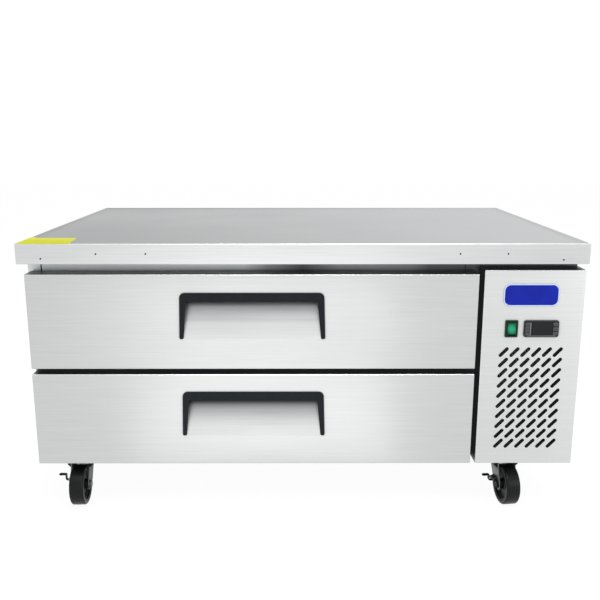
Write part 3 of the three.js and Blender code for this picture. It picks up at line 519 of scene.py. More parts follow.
def galvanisedSteel():
    material, tree, shader = newMaterial("galvanised steel", "#aab0b3", 1.0, 0.45)
    place = addNode(tree, "ShaderNodeTexCoord")
    crystals = addNode(tree, "ShaderNodeTexVoronoi", {
        "Vector": place.outputs["Object"], "Scale": 1 / (spangle["width"] * mm)})
    tone = addNode(tree, "ShaderNodeSeparateColor", {"Color": crystals.outputs["Color"]}).outputs[0]
    tree.links.new(blendColours(tree, tone, *spangle["tones"]), shader.inputs["Base Color"])
    low, high = spangle["glosses"]
    gloss = addNode(tree, "ShaderNodeMapRange", {"Value": tone, "To Min": low, "To Max": high}).outputs[0]
    tree.links.new(gloss, shader.inputs["Roughness"])
    return material


# Moulded plastic or rubber: even colour with the fine pimples of its mould, pimple wide and depth deep
moulding = {"cloud": 60, "glossDrift": 0.04, "strength": 0.5, "coatRoughness": 0.1}


def mouldedPlastic(name, light, dark, roughness, pimple, depth, gloss=0.5, coat=0.0):
    material, tree, shader = newMaterial(name, light, 0.0, roughness)
    skin = grainOf(tree, pimple)
    clouds = grainOf(tree, moulding["cloud"])
    change = moulding["glossDrift"]
    drift(tree, shader, clouds, (dark, light), (roughness - change, roughness + change))
    tree.links.new(bumpOf(tree, skin, depth, moulding["strength"]), shader.inputs["Normal"])
    shader.inputs["Specular IOR Level"].default_value = gloss
    shader.inputs["Coat Weight"].default_value = coat
    shader.inputs["Coat Roughness"].default_value = moulding["coatRoughness"]
    return material


# Plated or drawn metal: a clean sheen with faint clouds of tarnish, cloud wide, and painted shade in its gaps
drawing = {"shinier": 0.06, "duller": 0.08, "grain": 1.5, "depth": 0.02, "strength": 0.4}


def cleanMetal(name, light, dark, roughness, cloud=30):
    material, tree, shader = newMaterial(name, light, 1.0, roughness)
    paintShadeInGaps(tree, shader)
    clouds = grainOf(tree, cloud, 3.0)
    glosses = (roughness - drawing["shinier"], roughness + drawing["duller"])
    drift(tree, shader, clouds, (dark, light), glosses)
    grained = bumpOf(tree, grainOf(tree, drawing["grain"]), drawing["depth"], drawing["strength"])
    tree.links.new(grained, shader.inputs["Normal"])
    return material


# Sprayed polyurethane foam: pale yellow, open cells about 2 mm across
def polyurethaneFoam(cell=2, depth=0.6):
    material, tree, shader = newMaterial("polyurethane foam", "#e6d9a8", 0.0, 0.9)
    cells = grainOf(tree, cell, 4.0)
    tree.links.new(blendColours(tree, cells, "#cdbd86", "#f0e5bb"), shader.inputs["Base Color"])
    tree.links.new(bumpOf(tree, cells, depth), shader.inputs["Normal"])
    return material


# Lit polycarbonate lens of the rocker: clear green, brighter towards the lamp behind its middle
lensGlow = {"bright": 3, "dim": 14, "tones": ("#0f9a6e", "#04442f"), "emission": 0.08,
            "ripple": (1.2, 1.2, 5), "depth": 0.05, "strength": 0.6}


def greenLens(centre):
    material, tree, shader = newMaterial("green polycarbonate", "#12a87a", 0.0, 0.18)
    place = addNode(tree, "ShaderNodeTexCoord")
    around = addNode(tree, "ShaderNodeVectorMath", {0: place.outputs["Object"], 1: Vector(centre) * mm},
                     operation="DISTANCE")
    glow = addNode(tree, "ShaderNodeMapRange", {
        "Value": around.outputs["Value"], "From Min": lensGlow["bright"] * mm,
        "From Max": lensGlow["dim"] * mm})
    colour = blendColours(tree, glow.outputs[0], *lensGlow["tones"])
    tree.links.new(colour, shader.inputs["Base Color"])
    tree.links.new(colour, shader.inputs["Emission Color"])
    shader.inputs["Emission Strength"].default_value = lensGlow["emission"]
    shader.inputs["Specular IOR Level"].default_value = 0.3
    rippled = bumpOf(tree, grainOf(tree, lensGlow["ripple"]), lensGlow["depth"], lensGlow["strength"])
    tree.links.new(rippled, shader.inputs["Normal"])
    return material


# Length and width of one scratch, by the way that a sheet was brushed; stops are (millimetres, tone)
alongTop = (150, 2.2, 2.2)
alongFront = (160, 2.2, 2.2)
upright = (2.2, 2.2, 150)
unbrushed = (60, 40, 60)
# Painted light and shade: the deck is a darker steel than the fascia, and its tone runs lighter towards the right
# and the back
deckSteel = brushedStainless("brushed stainless deck", [
    (-712, "#969798"), (-200, "#a6a7a8"), (250, "#afb0b1"), (712, "#b4b5b6")], 0.38, alongTop,
    direction=(0.8, 0.5, 0))
# Painted reflection: the fascia's tone is lightest in its middle and darker towards its ends, most at the right
fasciaSteel = brushedStainless("brushed stainless fascia", [
    (-660, "#d6d8d8"), (-380, "#d7d9d9"), (-100, "#dcdede"), (170, "#dcdede"), (420, "#d3d5d5"),
    (660, "#cacccc")], 0.34, alongTop)
frontSteel = brushedStainless("brushed stainless fronts", "#cccdcd", 0.32, alongFront)
# Painted highlight: the cover panel's tone runs lighter towards its upper right
coverSteel = brushedStainless("brushed stainless cover", [
    (933, "#d3d4d4"), (1100, "#d5d6d6"), (1375, "#d9dada"), (1545, "#dddede"), (1857, "#e5e6e6")], 0.32,
    alongFront, direction=(1.9, 0, 1))
# Painted highlight for the folds along top edges
foldHighlightSteel = brushedStainless("stainless fold highlight", "#eef0f0", 0.3, alongFront, False)
shellSteel = brushedStainless("brushed stainless shell", "#c2c5c5", 0.36, upright)
# Painted light: a lighter steel with no painted gap shade, for the front of the header left of its first seam
stileSteel = brushedStainless("brushed stainless stile", "#d0d4d4", 0.36, upright, False)
# Painted shade and reflection: the header's tone runs from light at the left to near black in the middle and dark
# at the right, for the worktop's dark underside that it mirrors
headerSteel = brushedStainless("brushed stainless header", [
    (-600, "#cfd3d3"), (-140, "#cbcfcf"), (-86, "#969a9a"), (0, "#5a5e5e"), (86, "#929696"), (180, "#949898"),
    (258, "#888c8c"), (301, "#646868"), (390, "#5c6060")], 0.36, alongTop, False)
linerSteel = brushedStainless("mill-finished stainless", "#c6c9ca", 0.3, unbrushed)
zincSheet = galvanisedSteel()
foam = polyurethaneFoam()
# Plastics: two tones, roughness, pimple width and depth, gloss and, on some, the weight of a clear coat
whiteStyrene = mouldedPlastic("white polystyrene", "#dfe0e0", "#d7d9d9", 0.42, 1.2, 0.03)
blackAbs = mouldedPlastic("black ABS", "#1b2023", "#15191b", 0.5, 0.9, 0.04, 0.12)
gasketPvc = mouldedPlastic("grey magnetic PVC", "#3a3e40", "#323638", 0.6, 1.0, 0.03, 0.3)
seamShadow = mouldedPlastic("painted seam shadow", "#121514", "#0d100f", 0.6, 1.5, 0.05, 0.1)
slotBlack = mouldedPlastic("sheared steel in shadow", "#0b0d0d", "#080a0a", 0.8, 1.0, 0.03, 0.05)
switchAbs = mouldedPlastic("dark green ABS", "#06301f", "#042719", 0.35, 1.0, 0.02, 0.2)
controllerAbs = mouldedPlastic("charcoal ABS", "#27292b", "#212325", 0.45, 0.9, 0.03, 0.2)
stripAbs = mouldedPlastic("grey ABS", "#505254", "#46484a", 0.45, 0.9, 0.03, 0.2)
markAbs = mouldedPlastic("light grey ABS", "#8f9193", "#848688", 0.45, 0.9, 0.03, 0.3)
windowAcrylic = mouldedPlastic("smoked acrylic", "#0f1011", "#0c0d0e", 0.15, 3.0, 0.01, 0.3)
keyAbs = mouldedPlastic("grey key ABS", "#4c4e50", "#424446", 0.45, 0.9, 0.03, 0.2)
tyreRubber = mouldedPlastic("black polyurethane tyre", "#131515", "#0d0f0f", 0.36, 2.0, 0.04, 0.18)
wheelCore = mouldedPlastic("black polypropylene core", "#0f1011", "#0b0c0d", 0.45, 1.0, 0.04, 0.25)
# Metals: two tones, roughness and the width of a cloud
zincPlate = cleanMetal("zinc-plated steel", "#8d9292", "#6f7474", 0.34)
blackZinc = cleanMetal("black zinc plating", "#2b2e2f", "#1f2223", 0.4, 20)

# The fork darkens between these heights, towards the shadow under the cabinet
forkShade = {"from": 78, "to": 100, "tone": "#2e3232"}


def zincFork():
    material = cleanMetal("zinc-plated fork", "#8d9292", "#6f7474", 0.34)
    tree = material.node_tree
    base = tree.nodes["Principled BSDF"].inputs["Base Color"]
    clouds = base.links[0].from_socket
    place = addNode(tree, "ShaderNodeTexCoord")
    apart = addNode(tree, "ShaderNodeSeparateXYZ", {"Vector": place.outputs["Object"]})
    height = addNode(tree, "ShaderNodeMapRange", {
        "Value": apart.outputs["Z"], "From Min": forkShade["from"] * mm, "From Max": forkShade["to"] * mm},
        interpolation_type="SMOOTHSTEP")
    shade = addNode(tree, "ShaderNodeMix", {
        0: height.outputs[0], 6: clouds, 7: hexToLinear(forkShade["tone"])}, data_type="RGBA")
    tree.links.new(shade.outputs[2], base)
    return material


forkZinc = zincFork()
# Two painted copies of zinc for the fork: a darker one for painted shade, a lighter one for a painted highlight
shadedZinc = cleanMetal("zinc plating in painted shade", "#474a4b", "#323536", 0.4, 20)
zincEdgeHighlight = cleanMetal("zinc edge with painted highlight", "#b9bcbc", "#a8abab", 0.35, 20)
blackSteel = mouldedPlastic("black powder-coated steel", "#101214", "#0c0e10", 0.35, 0.8, 0.06, 0.4)
finAluminium = cleanMetal("aluminium fins", "#b4b9bc", "#a2a7aa", 0.35, 40)
fanPolypropylene = mouldedPlastic("black glass-filled polypropylene", "#181b1d", "#121517", 0.5, 1.0, 0.04,
                                  0.3)
copperTube = cleanMetal("copper tube", "#c47a4c", "#a4613a", 0.3, 25)
darkScrew = cleanMetal("blackened screw steel", "#3a3d3f", "#2c2f31", 0.4, 10)
badgeBlue = mouldedPlastic("blue enamelled plate", "#1125a0", "#0e1f92", 0.4, 1.0, 0.01, 0.14)
badgeRim = mouldedPlastic("pale enamelled rim", "#c6d8f2", "#bccfec", 0.3, 2.0, 0.01, 0.3)
print("materials made")

punches = punchPattern()
rows = rowPattern()
scatter = scatterPattern()

# Worktop: one folded sheet with a low rim round the deck, a fascia and a hem under the front
worktop = {"sheet": 2, "rimWidth": 4, "rimSlope": 12, "rimHeight": 3, "corner": 4, "edge": 2.6, "hem": 18,
           "hemLift": 0.1, "hemCorner": 1, "hemEdge": 0.4, "filmRoom": 0.25}
fasciaScrews = {"radius": 2.1, "recess": 0.6, "depth": 1.4, "play": 0.2, "chamfer": (0.4, 0.3), "dome": 0.1,
                "socket": (0.45, 0.4), "socketDepth": 0.5,
                "places": ((-602, 641), (-475, 652), (-361, 652), (361, 652), (471, 652), (599, 638))}


# The rim's inner side eases down to the deck
def rimCurve(top, deck, steps=8):
    shares = [step / steps for step in range(steps + 1)]
    return [(worktop["rimWidth"] + worktop["rimSlope"] * share,
             top - (top - deck) * share * share * (3 - 2 * share)) for share in shares]


def makeWorktop():
    low, high = cadSpan("worktop")
    half = (high - low) / 2
    centre = (0, (low.y + high.y) / 2, 0)
    top = high.z - worktop["filmRoom"]
    deck = high.z - worktop["rimHeight"]
    sheet, edge = worktop["sheet"], worktop["edge"]
    profile = [(sheet, deck - sheet), (sheet, low.z + sheet)]
    profile += arc((sheet / 2, low.z + sheet / 2), sheet / 2, 0, -180, 4)
    profile += arc((edge, top - edge), edge, 180, 90)
    profile += rimCurve(top, deck)
    rings = [ringOf("z", centre, half.x - inset, half.y - inset, worktop["corner"] - inset, height)
             for inset, height in profile]
    deep = worktop["hem"] / 2
    hem = slab("z", (0, low.y + sheet / 2 + deep, 0), half.x - sheet, deep - sheet / 2,
               low.z + worktop["hemLift"], low.z + sheet, worktop["hemCorner"], worktop["hemEdge"])
    piece = makeSolid("worktopSheet", joinShapes(loft(rings), hem))
    screw = fasciaScrews
    radius, depth = screw["radius"], screw["depth"]
    places = [(x, low.y, z) for x, z in screw["places"]]
    hole = makeSolid("hole", lathe("y", (0, 0, 0), [
        (0, -depth), (radius, -depth), (radius, depth), (0, depth)], 16))
    combine(piece, grow("holes", scatter, {"Item": hole}, places), "DIFFERENCE")

    # The deck's faces take the darker deck steel, whose tone is painted light and shade
    def deckOrFascia(centre, normal):
        inside = abs(centre.x) < half.x - edge and abs(centre.y) < half.y - edge
        return 1 if inside and centre.z > deck - sheet / 2 else 0

    paint(piece, [fasciaSteel, deckSteel], deckOrFascia)
    dress(piece, "cabinet", ["worktop"])
    reach, face = radius - screw["play"], screw["recess"]
    bottom = face + screw["socketDepth"]
    head = makeSolid("head", lathe("y", (0, 0, 0), [
        (0, depth), (reach, depth), (reach, face + screw["chamfer"][1]), (reach - screw["chamfer"][0], face),
        (reach * screw["socket"][0], face - screw["dome"]), (reach * screw["socket"][1], bottom),
        (0, bottom)], 16))
    heads = grow("fasciaScrews", scatter, {"Item": head, "Finish": darkScrew}, places)
    dress(heads, "cabinet")


# Protective film left on the front left corner of the deck: blank, and laid over the front and left rims
film = {"right": -537, "slant": -13, "backY": -303, "sheet": 0.12, "lift": 0.05, "wrapTo": 130,
        "paleReach": 55}


def makeFilm():
    low, high = cadSpan("worktop")
    top = high.z - worktop["filmRoom"]
    deck = high.z - worktop["rimHeight"]
    edge = worktop["edge"]
    rim = rimCurve(top, deck)

    def layer(lift, floor):
        path = arc((low.y + edge, top - edge), edge + lift, film["wrapTo"], 90, 3)
        path += [(low.y + along, max(height, floor) + lift) for along, height in rim]
        return path + [(film["backY"], floor + lift)]

    def ring(x, slant, floor):
        outline = layer(film["lift"], floor) + list(reversed(layer(film["lift"] + film["sheet"], floor)))
        return [Vector((x + slant * (y - low.y) / (film["backY"] - low.y), y, z)) for y, z in outline]

    rings = [ring(low.x + along, 0, floor) for along, floor in rim]
    piece = makeSolid("protectiveFilm", loft(rings + [ring(film["right"], film["slant"], deck)]))
    paint(piece, [yellowFilm])
    dress(piece, "cabinet")


# Yellow polyethylene film: clear lemon colour that is paler towards its back edge
def yellowPolyethylene():
    material, tree, shader = newMaterial("yellow polyethylene film", "#c4c614", 0.0, 0.5)
    place = addNode(tree, "ShaderNodeTexCoord")
    apart = addNode(tree, "ShaderNodeSeparateXYZ", {"Vector": place.outputs["Object"]})
    towardsBack = addNode(tree, "ShaderNodeMapRange", {
        "Value": apart.outputs["Y"], "From Min": (film["backY"] - film["paleReach"]) * mm,
        "From Max": film["backY"] * mm})
    creases = grainOf(tree, (30, 3, 3))
    lying = blendColours(tree, spreadOver(tree, creases), "#c0c210", "#cbcd1a")
    colour = addNode(tree, "ShaderNodeMix", {0: towardsBack.outputs[0], 6: lying, 7: hexToLinear("#d6d450")},
                     data_type="RGBA")
    tree.links.new(colour.outputs[2], shader.inputs["Base Color"])
    tree.links.new(bumpOf(tree, creases, 0.15, 0.5), shader.inputs["Normal"])
    shader.inputs["Specular IOR Level"].default_value = 0.04
    return material


yellowFilm = yellowPolyethylene()
makeCamera()
makeWorktop()
makeFilm()
print("worktop made")

# Folded fronts: a sheet pan that is closed at the front and open behind
frontPan = {"sheet": 1.5, "corner": 1.6, "edge": 2.4, "bend": 0.9, "bendMiddle": (0.2, 0.3), "backField": 6,
            "frontField": 5, "slack": 0.2}


# Painted highlight: the fold along a top edge is turned up to the lamps, so it gets a lighter steel that stays
# bright
def paintPan(piece, steel, low, high, others=(), choose=None):
    def foldOrOther(middle, normal):
        onTop = normal.z > 0.2 and middle.z > high.z - frontPan["edge"] - frontPan["slack"]
        if onTop and normal.y < -0.1 and middle.y < low.y + frontPan["edge"]:
            return 1
        return choose(middle, normal) if choose else 0

    paint(piece, [steel, foldHighlightSteel, *others], foldOrOther)


def foldedPan(low, high):
    sheet, edge, corner = frontPan["sheet"], frontPan["edge"], frontPan["corner"]
    bend, bendMiddle = frontPan["bend"], frontPan["bendMiddle"]
    centre = ((low.x + high.x) / 2, 0, (low.z + high.z) / 2)
    halfX, halfZ = (high.x - low.x) / 2, (high.z - low.z) / 2
    profile = [(sheet + frontPan["backField"], low.y + sheet), (sheet + bend, low.y + sheet),
               (sheet + bendMiddle[0], low.y + sheet + bendMiddle[1]), (sheet, low.y + sheet + bend),
               (sheet, high.y), (0, high.y)]
    profile += arc((edge, low.y + edge), edge, 180, 270, 4)
    profile += [(edge + frontPan["frontField"], low.y)]
    return loft([ringOf("y", centre, halfX - inset, halfZ - inset, corner - inset, along)
                 for inset, along in profile])


# Finger scoop pressed into a drawer front: a shallow slope up to a crease, a steeper one, then the roof.
# Drops are counted down from the handle's top, and the heights of its tones up from there
scoop = {"halfWidth": 166.5, "roofDrop": 8, "footDrop": 112, "creaseDrop": 66, "creaseDepth": 12.5,
         "creaseRound": 20, "slopeSteps": 8, "bow": 0.22, "floorDrop": 23, "floorRound": 4, "depth": 29,
         "roofRun": 9, "roofRound": 5, "endRound": 7, "overlap": 0.4, "cutAhead": 6, "panelRoom": 1.8,
         "slack": 0.1, "pastFace": 0.01}
# Painted shade and reflection: tones of each scoop by height, darkest under the handle's bar
scoopTones = {
    "drawer_upper": (
        (-112, "#dedfdf"), (-104, "#dcdddd"), (-90, "#d6d7d7"), (-75.6, "#d2d3d3"), (-70.8, "#c8c9ca"),
        (-66, "#b9babb"), (-61.2, "#b5b6b7"), (-56.4, "#afb0b1"), (-51.6, "#a9abac"), (-46.8, "#aeb0b1"),
        (-38, "#b0b2b3"), (-32.4, "#a7a9aa"), (-27.6, "#a0a2a4"), (-20, "#6a6d6f")),
    "drawer_lower": (
        (-112, "#c1c2c2"), (-99, "#c8c9c9"), (-90, "#cdcece"), (-81.6, "#c9caca"), (-77, "#cacbcb"),
        (-72.4, "#c4c5c6"), (-67.8, "#c0c1c2"), (-63.2, "#b9babb"), (-58.6, "#b1b3b4"), (-54, "#acaeaf"),
        (-49.4, "#a5a7a8"), (-44.8, "#9a9c9e"), (-40.2, "#858789"), (-35.6, "#606365"), (-31, "#3b3e40")),
}


# The scoop as a solid that is wall larger on each side and begins at start, behind the front's plane
def scoopShape(centreX, topZ, frontY, wall, start):
    foot, crease = scoop["footDrop"] + wall, scoop["creaseDrop"]
    roof, depth = wall - scoop["roofDrop"], scoop["depth"] + wall
    bow = scoop["bow"]
    slope = []
    for step in range(scoop["slopeSteps"] + 1):
        share = step / scoop["slopeSteps"]
        slope.append((wall + scoop["creaseDepth"] * ((1 - bow) * share + bow * share * share),
                      (foot - crease) * share - foot, 0))
    slope[-1] = (*slope[-1][:2], scoop["creaseRound"])
    outline = filleted([(start, -foot, 0)] + slope + [
        (depth, -scoop["floorDrop"], scoop["floorRound"]),
        (depth - scoop["roofRun"] / 2, roof, scoop["roofRound"]), (start, roof, 0)], 6)
    half, bend = scoop["halfWidth"] + wall, scoop["endRound"]
    ends = [(half - bend + bend * math.sin(math.radians(turn)),
             1 - bend * (1 - math.cos(math.radians(turn))) / scoop["depth"]) for turn in (0, 30, 60, 90)]
    rings = []
    for along, share in [(-along, share) for along, share in reversed(ends)] + ends:
        ring = [(wall + (deep - wall) * share if deep > wall else deep, up) for deep, up in outline]
        rings.append([onAxis("x", (centreX, frontY, topZ), deep, up, along) for deep, up in ring])
    return loft(rings)


# Painted reflection and shade: the scoop mirrors the black bar above it, so its tones darken towards its roof
def scoopSteel(drawer, topZ):
    stops = [(topZ + up, tone) for up, tone in scoopTones[drawer]]
    return brushedStainless(f"brushed stainless scoop {drawer}", stops, 0.34, alongFront, False, (0, 0, 1))


# Handle: a black trim with a bar over the scoop, a leg at each end, and a lip that reaches into the scoop
handle = {"drop": 44, "height": 111, "width": 338, "shift": -1.2, "bar": 21.5, "legTop": 15, "legFoot": 10,
          "splay": 3, "corner": 12, "innerCorner": 3, "footCorner": 3.5, "edge": 1.0, "seat": 0.3,
          "sideInset": 5, "lipStart": 0.6, "lipOverlap": 0.4, "lipCorner": 2, "lipEdge": 0.6, "roofGap": 8.3}


def makeHandle(drawer, centreX, topZ, frontY):
    low, high = cadSpan(drawer + "_handle")
    outer = handle["width"] / 2
    inner = outer - handle["legTop"]
    foot = outer + handle["splay"]
    footInner = foot - handle["legFoot"]
    height = handle["height"]
    outline = filleted([
        (-foot, -height, handle["footCorner"]), (-footInner, -height, handle["footCorner"]),
        (-inner, -handle["bar"], handle["innerCorner"]), (inner, -handle["bar"], handle["innerCorner"]),
        (footInner, -height, handle["footCorner"]), (foot, -height, handle["footCorner"]),
        (outer, 0, handle["corner"]), (-outer, 0, handle["corner"])], 6)
    piece = makeSolid(drawer + "Handle", prism(
        "y", (centreX, 0, topZ), outline, low.y, frontY - handle["seat"]))
    soften(piece, handle["edge"], 3)
    start = handle["lipStart"]
    lipHalf = foot - handle["sideInset"] - start - handle["splay"] / 2
    lipLow, lipHigh = topZ - handle["bar"] + handle["lipOverlap"], topZ - handle["roofGap"]
    lip = makeSolid("lip", slab(
        "x", (centreX, (low.y + start + high.y) / 2, (lipLow + lipHigh) / 2), (high.y - low.y - start) / 2,
        (lipHigh - lipLow) / 2, -lipHalf, lipHalf, handle["lipCorner"], handle["lipEdge"]))
    combine(piece, lip, "UNION")
    paint(piece, [blackAbs])
    dress(piece, drawer, [drawer + "_handle"])


# Inner panel behind each front, cut away round the scoop
innerPanel = {"corner": 2, "edge": 1.2}


def makeDrawerFront(drawer):
    low, high = cadSpan(drawer + "_front")
    centreX = (low.x + high.x) / 2
    topZ = high.z - handle["drop"]
    front = makeSolid(drawer + "Front", foldedPan(low, high))
    pocket = makeSolid("pocket", scoopShape(centreX, topZ, low.y, frontPan["sheet"], scoop["overlap"]))
    combine(front, pocket, "UNION")
    press = makeSolid("press", scoopShape(centreX, topZ, low.y, 0, -scoop["cutAhead"]))
    combine(front, press, "DIFFERENCE")

    def scoopOrFlat(middle, normal):
        slack, up = scoop["slack"], middle.z - topZ
        wide = abs(middle.x - centreX) < scoop["halfWidth"] + slack
        tall = -scoop["footDrop"] - slack < up < slack - scoop["roofDrop"]
        behind = middle.y > low.y + scoop["pastFace"]
        return 2 if wide and tall and behind and normal.y < 0.2 else 0

    paintPan(front, frontSteel, low, high, [scoopSteel(drawer, topZ)], scoopOrFlat)
    dress(front, drawer, [drawer + "_front"], 30)
    innerLow, innerHigh = cadSpan(drawer + "_inner_panel")
    panel = makeSolid(drawer + "InnerPanel", slab(
        "y", (centreX, 0, (innerLow.z + innerHigh.z) / 2), (innerHigh.x - innerLow.x) / 2,
        (innerHigh.z - innerLow.z) / 2, innerLow.y, innerHigh.y, innerPanel["corner"], innerPanel["edge"]))
    room = makeSolid("room", scoopShape(centreX, topZ, low.y, scoop["panelRoom"], -scoop["cutAhead"]))
    combine(panel, room, "DIFFERENCE")
    paint(panel, [whiteStyrene])
    dress(panel, drawer, [drawer + "_inner_panel"])
    makeHandle(drawer, centreX + handle["shift"], topZ, low.y)


# Magnetic gasket: each point of its side is a share of the half width, a share of the depth, and a radius
gasket = {"width": 14, "corner": 6, "side": (
    (1, 0, 0.5), (1, 0.25, 0.6), (0.62, 0.36, 0.6), (0.62, 0.5, 0.6), (1, 0.62, 0.8), (1, 1, 1.2))}


def makeGasket(drawer):
    low, high = cadSpan(drawer + "_gasket")
    centre = ((low.x + high.x) / 2, low.y, (low.z + high.z) / 2)
    halfX = (high.x - low.x - gasket["width"]) / 2
    halfZ = (high.z - low.z - gasket["width"]) / 2
    deep = high.y - low.y
    half = gasket["width"] / 2
    side = [(half * across, deep * up, radius) for across, up, radius in gasket["side"]]
    section = filleted(side + [(-across, up, radius) for across, up, radius in reversed(side)], 2)
    rings = [ringOf("y", centre, halfX + offset, halfZ + offset, gasket["corner"] + half + offset, along)
             for offset, along in section]
    piece = makeSolid(drawer + "Gasket", loft(rings, closed=True))
    paint(piece, [gasketPvc])
    dress(piece, drawer, [drawer + "_gasket"])


for drawer in drawers:
    makeDrawerFront(drawer)
    makeGasket(drawer)
print("drawer fronts made")

# Face frame behind the fronts, with the joints between its header and its stiles, whose grooves are painted near
# black as shadow
faceFrame = {"seams": ((-623.3, 3), (387.6, 1.4)), "headerFoot": 596, "seamDepth": 1, "cutAbove": 5,
             "seamCorner": 0.2, "seamEdge": 0.1, "edge": 0.5, "slack": 0.2}


def makeFaceFrame():
    low, high = cadSpan("face_frame")
    piece = finishedCopy("face_frame", faceFrame["edge"])
    for x, width in faceFrame["seams"]:
        groove = makeSolid("groove", slab(
            "z", (x, low.y, 0), width / 2, faceFrame["seamDepth"], faceFrame["headerFoot"],
            high.z + faceFrame["cutAbove"], faceFrame["seamCorner"], faceFrame["seamEdge"]))
        combine(piece, groove, "DIFFERENCE")

    # Painted light and shade: the header's front takes headerSteel, or stileSteel left of the first seam, and the
    # seams take the painted seam shadow
    def partOf(middle, normal):
        inSeam = any(abs(middle.x - x) < width / 2 + faceFrame["slack"] for x, width in faceFrame["seams"])
        if inSeam and middle.z > faceFrame["headerFoot"]:
            return 2
        if middle.z > faceFrame["headerFoot"] and normal.y < -0.5:
            return 1 if middle.x > faceFrame["seams"][0][0] else 3
        return 0

    splitFaces(piece, (0, 0, faceFrame["headerFoot"]), (0, 0, 1))
    for x, width in faceFrame["seams"]:
        splitFaces(piece, (x, 0, 0), (1, 0, 0))
    paint(piece, [shellSteel, headerSteel, seamShadow, stileSteel], partOf)
    dress(piece, "cabinet", ["face_frame"])


makeFaceFrame()

# Machine cover panel: slanted vent slots, and cut-outs for the switch and the controller
vents = {"columns": 6, "rows": 10, "pitch": 25.7, "length": 30.2, "width": 8.6, "angle": 46.5,
         "firstDrop": 197.85, "shift": 0.6, "punch": 12}
cutouts = {"nodes": ("switch_bezel", "controller_body"), "inset": 2.6, "reach": 6, "corner": 1, "edge": 0.5}


def makeCoverPanel():
    low, high = cadSpan("grille_panel")
    piece = makeSolid("machineCoverPanel", foldedPan(low, high))
    fieldX = (low.x + high.x) / 2 + vents["shift"]
    fieldZ = high.z - vents["firstDrop"] - (vents["rows"] - 1) * vents["pitch"] / 2
    slots = grow("slots", punches, {
        "Columns": vents["columns"], "Rows": vents["rows"], "Pitch Across": vents["pitch"] * mm,
        "Pitch Up": vents["pitch"] * mm, "Length": vents["length"] * mm, "Width": vents["width"] * mm,
        "Corner": vents["width"] / 2 * mm, "Angle": math.radians(vents["angle"]),
        "Depth": vents["punch"] * mm, "Centre": Vector((fieldX, low.y + vents["punch"] / 2, fieldZ)) * mm})
    combine(piece, slots, "DIFFERENCE")
    inset, reach = cutouts["inset"], cutouts["reach"]
    for node in cutouts["nodes"]:
        partLow, partHigh = cadSpan(node)
        hole = makeSolid("cutout", slab(
            "y", ((partLow.x + partHigh.x) / 2, 0, (partLow.z + partHigh.z) / 2),
            (partHigh.x - partLow.x) / 2 - inset, (partHigh.z - partLow.z) / 2 - inset,
            low.y - reach, low.y + reach, cutouts["corner"], cutouts["edge"]))
        combine(piece, hole, "DIFFERENCE")
    reachX = (vents["columns"] - 1) * vents["pitch"] / 2 + vents["length"] / 2
    reachZ = (vents["rows"] - 1) * vents["pitch"] / 2 + vents["length"] / 2

    # Painted shade: the slots' walls get near-black steel, for the shadow inside the slots
    def wallOfSlot(middle, normal):
        near = abs(middle.x - fieldX) < reachX and abs(middle.z - fieldZ) < reachZ
        return 2 if near and abs(normal.y) < 0.5 else 0

    paintPan(piece, coverSteel, low, high, [slotBlack], wallOfSlot)
    dress(piece, "cabinet", ["grille_panel"], 30)


# Badge plate: a blank blue plate with a pale raised rim. Points are (inset, depth below the rim's top): those
# of the edge are counted from outside, those of the field from the rim
badge = {"x": (468.2, 598), "z": (527, 580.2), "corner": 16, "thick": 1.6, "rim": 2.4, "backField": 3,
         "edge": ((0, 0.7), (0.25, 0.25), (0.8, 0)), "slack": 0.2,
         "field": ((-0.6, 0), (0, 0.35), (0.3, 0.5), (4, 0.25), (11, 0.05))}


def makeBadge():
    centre = (sum(badge["x"]) / 2, cadSpan("grille_panel")[0].y, sum(badge["z"]) / 2)
    halfX = (badge["x"][1] - badge["x"][0]) / 2
    halfZ = (badge["z"][1] - badge["z"][0]) / 2
    thick, rim = badge["thick"], badge["rim"]
    profile = [(badge["backField"], 0), (0, 0)]
    profile += [(inset, below - thick) for inset, below in badge["edge"]]
    profile += [(rim + inset, below - thick) for inset, below in badge["field"]]
    rings = [ringOf("y", centre, halfX - inset, halfZ - inset, badge["corner"] - inset, along, 10)
             for inset, along in profile]
    piece = makeSolid("badgePlate", loft(rings))
    reach = rim + badge["slack"]

    def rimOrField(middle, normal):
        across, up = abs(middle.x - centre[0]), abs(middle.z - centre[2])
        inside = across < halfX - reach and up < halfZ - reach
        corner = badge["corner"] - reach
        over = Vector((max(across - (halfX - badge["corner"]), 0), max(up - (halfZ - badge["corner"]), 0)))
        return 0 if inside and over.length < corner and normal.y < -0.5 else 1

    paint(piece, [badgeBlue, badgeRim], rimOrField)
    dress(piece, "cabinet")


# A moulded body that passes through the cover panel and has a flange before it. Points of its face are
# (inset, depth); points further in also have a corner radius
flange = {"gap": 0.3, "bodyCorner": 1}


def flangedBody(part, low, high, inner=(), steps=6):
    backY = cadSpan("grille_panel")[0].y - flange["gap"]
    centre = ((low.x + high.x) / 2, 0, (low.z + high.z) / 2)
    halfX, halfZ = (high.x - low.x) / 2, (high.z - low.z) / 2
    body = part["bodyInset"]
    profile = [(body, high.y, flange["bodyCorner"]), (body, backY, flange["bodyCorner"]),
               (0, backY, part["corner"])]
    profile += [(inset, low.y + deep, part["corner"]) for inset, deep in part["face"]]
    profile += [(inset, low.y + deep, radius) for inset, deep, radius in inner]
    return loft([ringOf("y", centre, halfX - inset, halfZ - inset, radius, along, steps)
                 for inset, along, radius in profile])


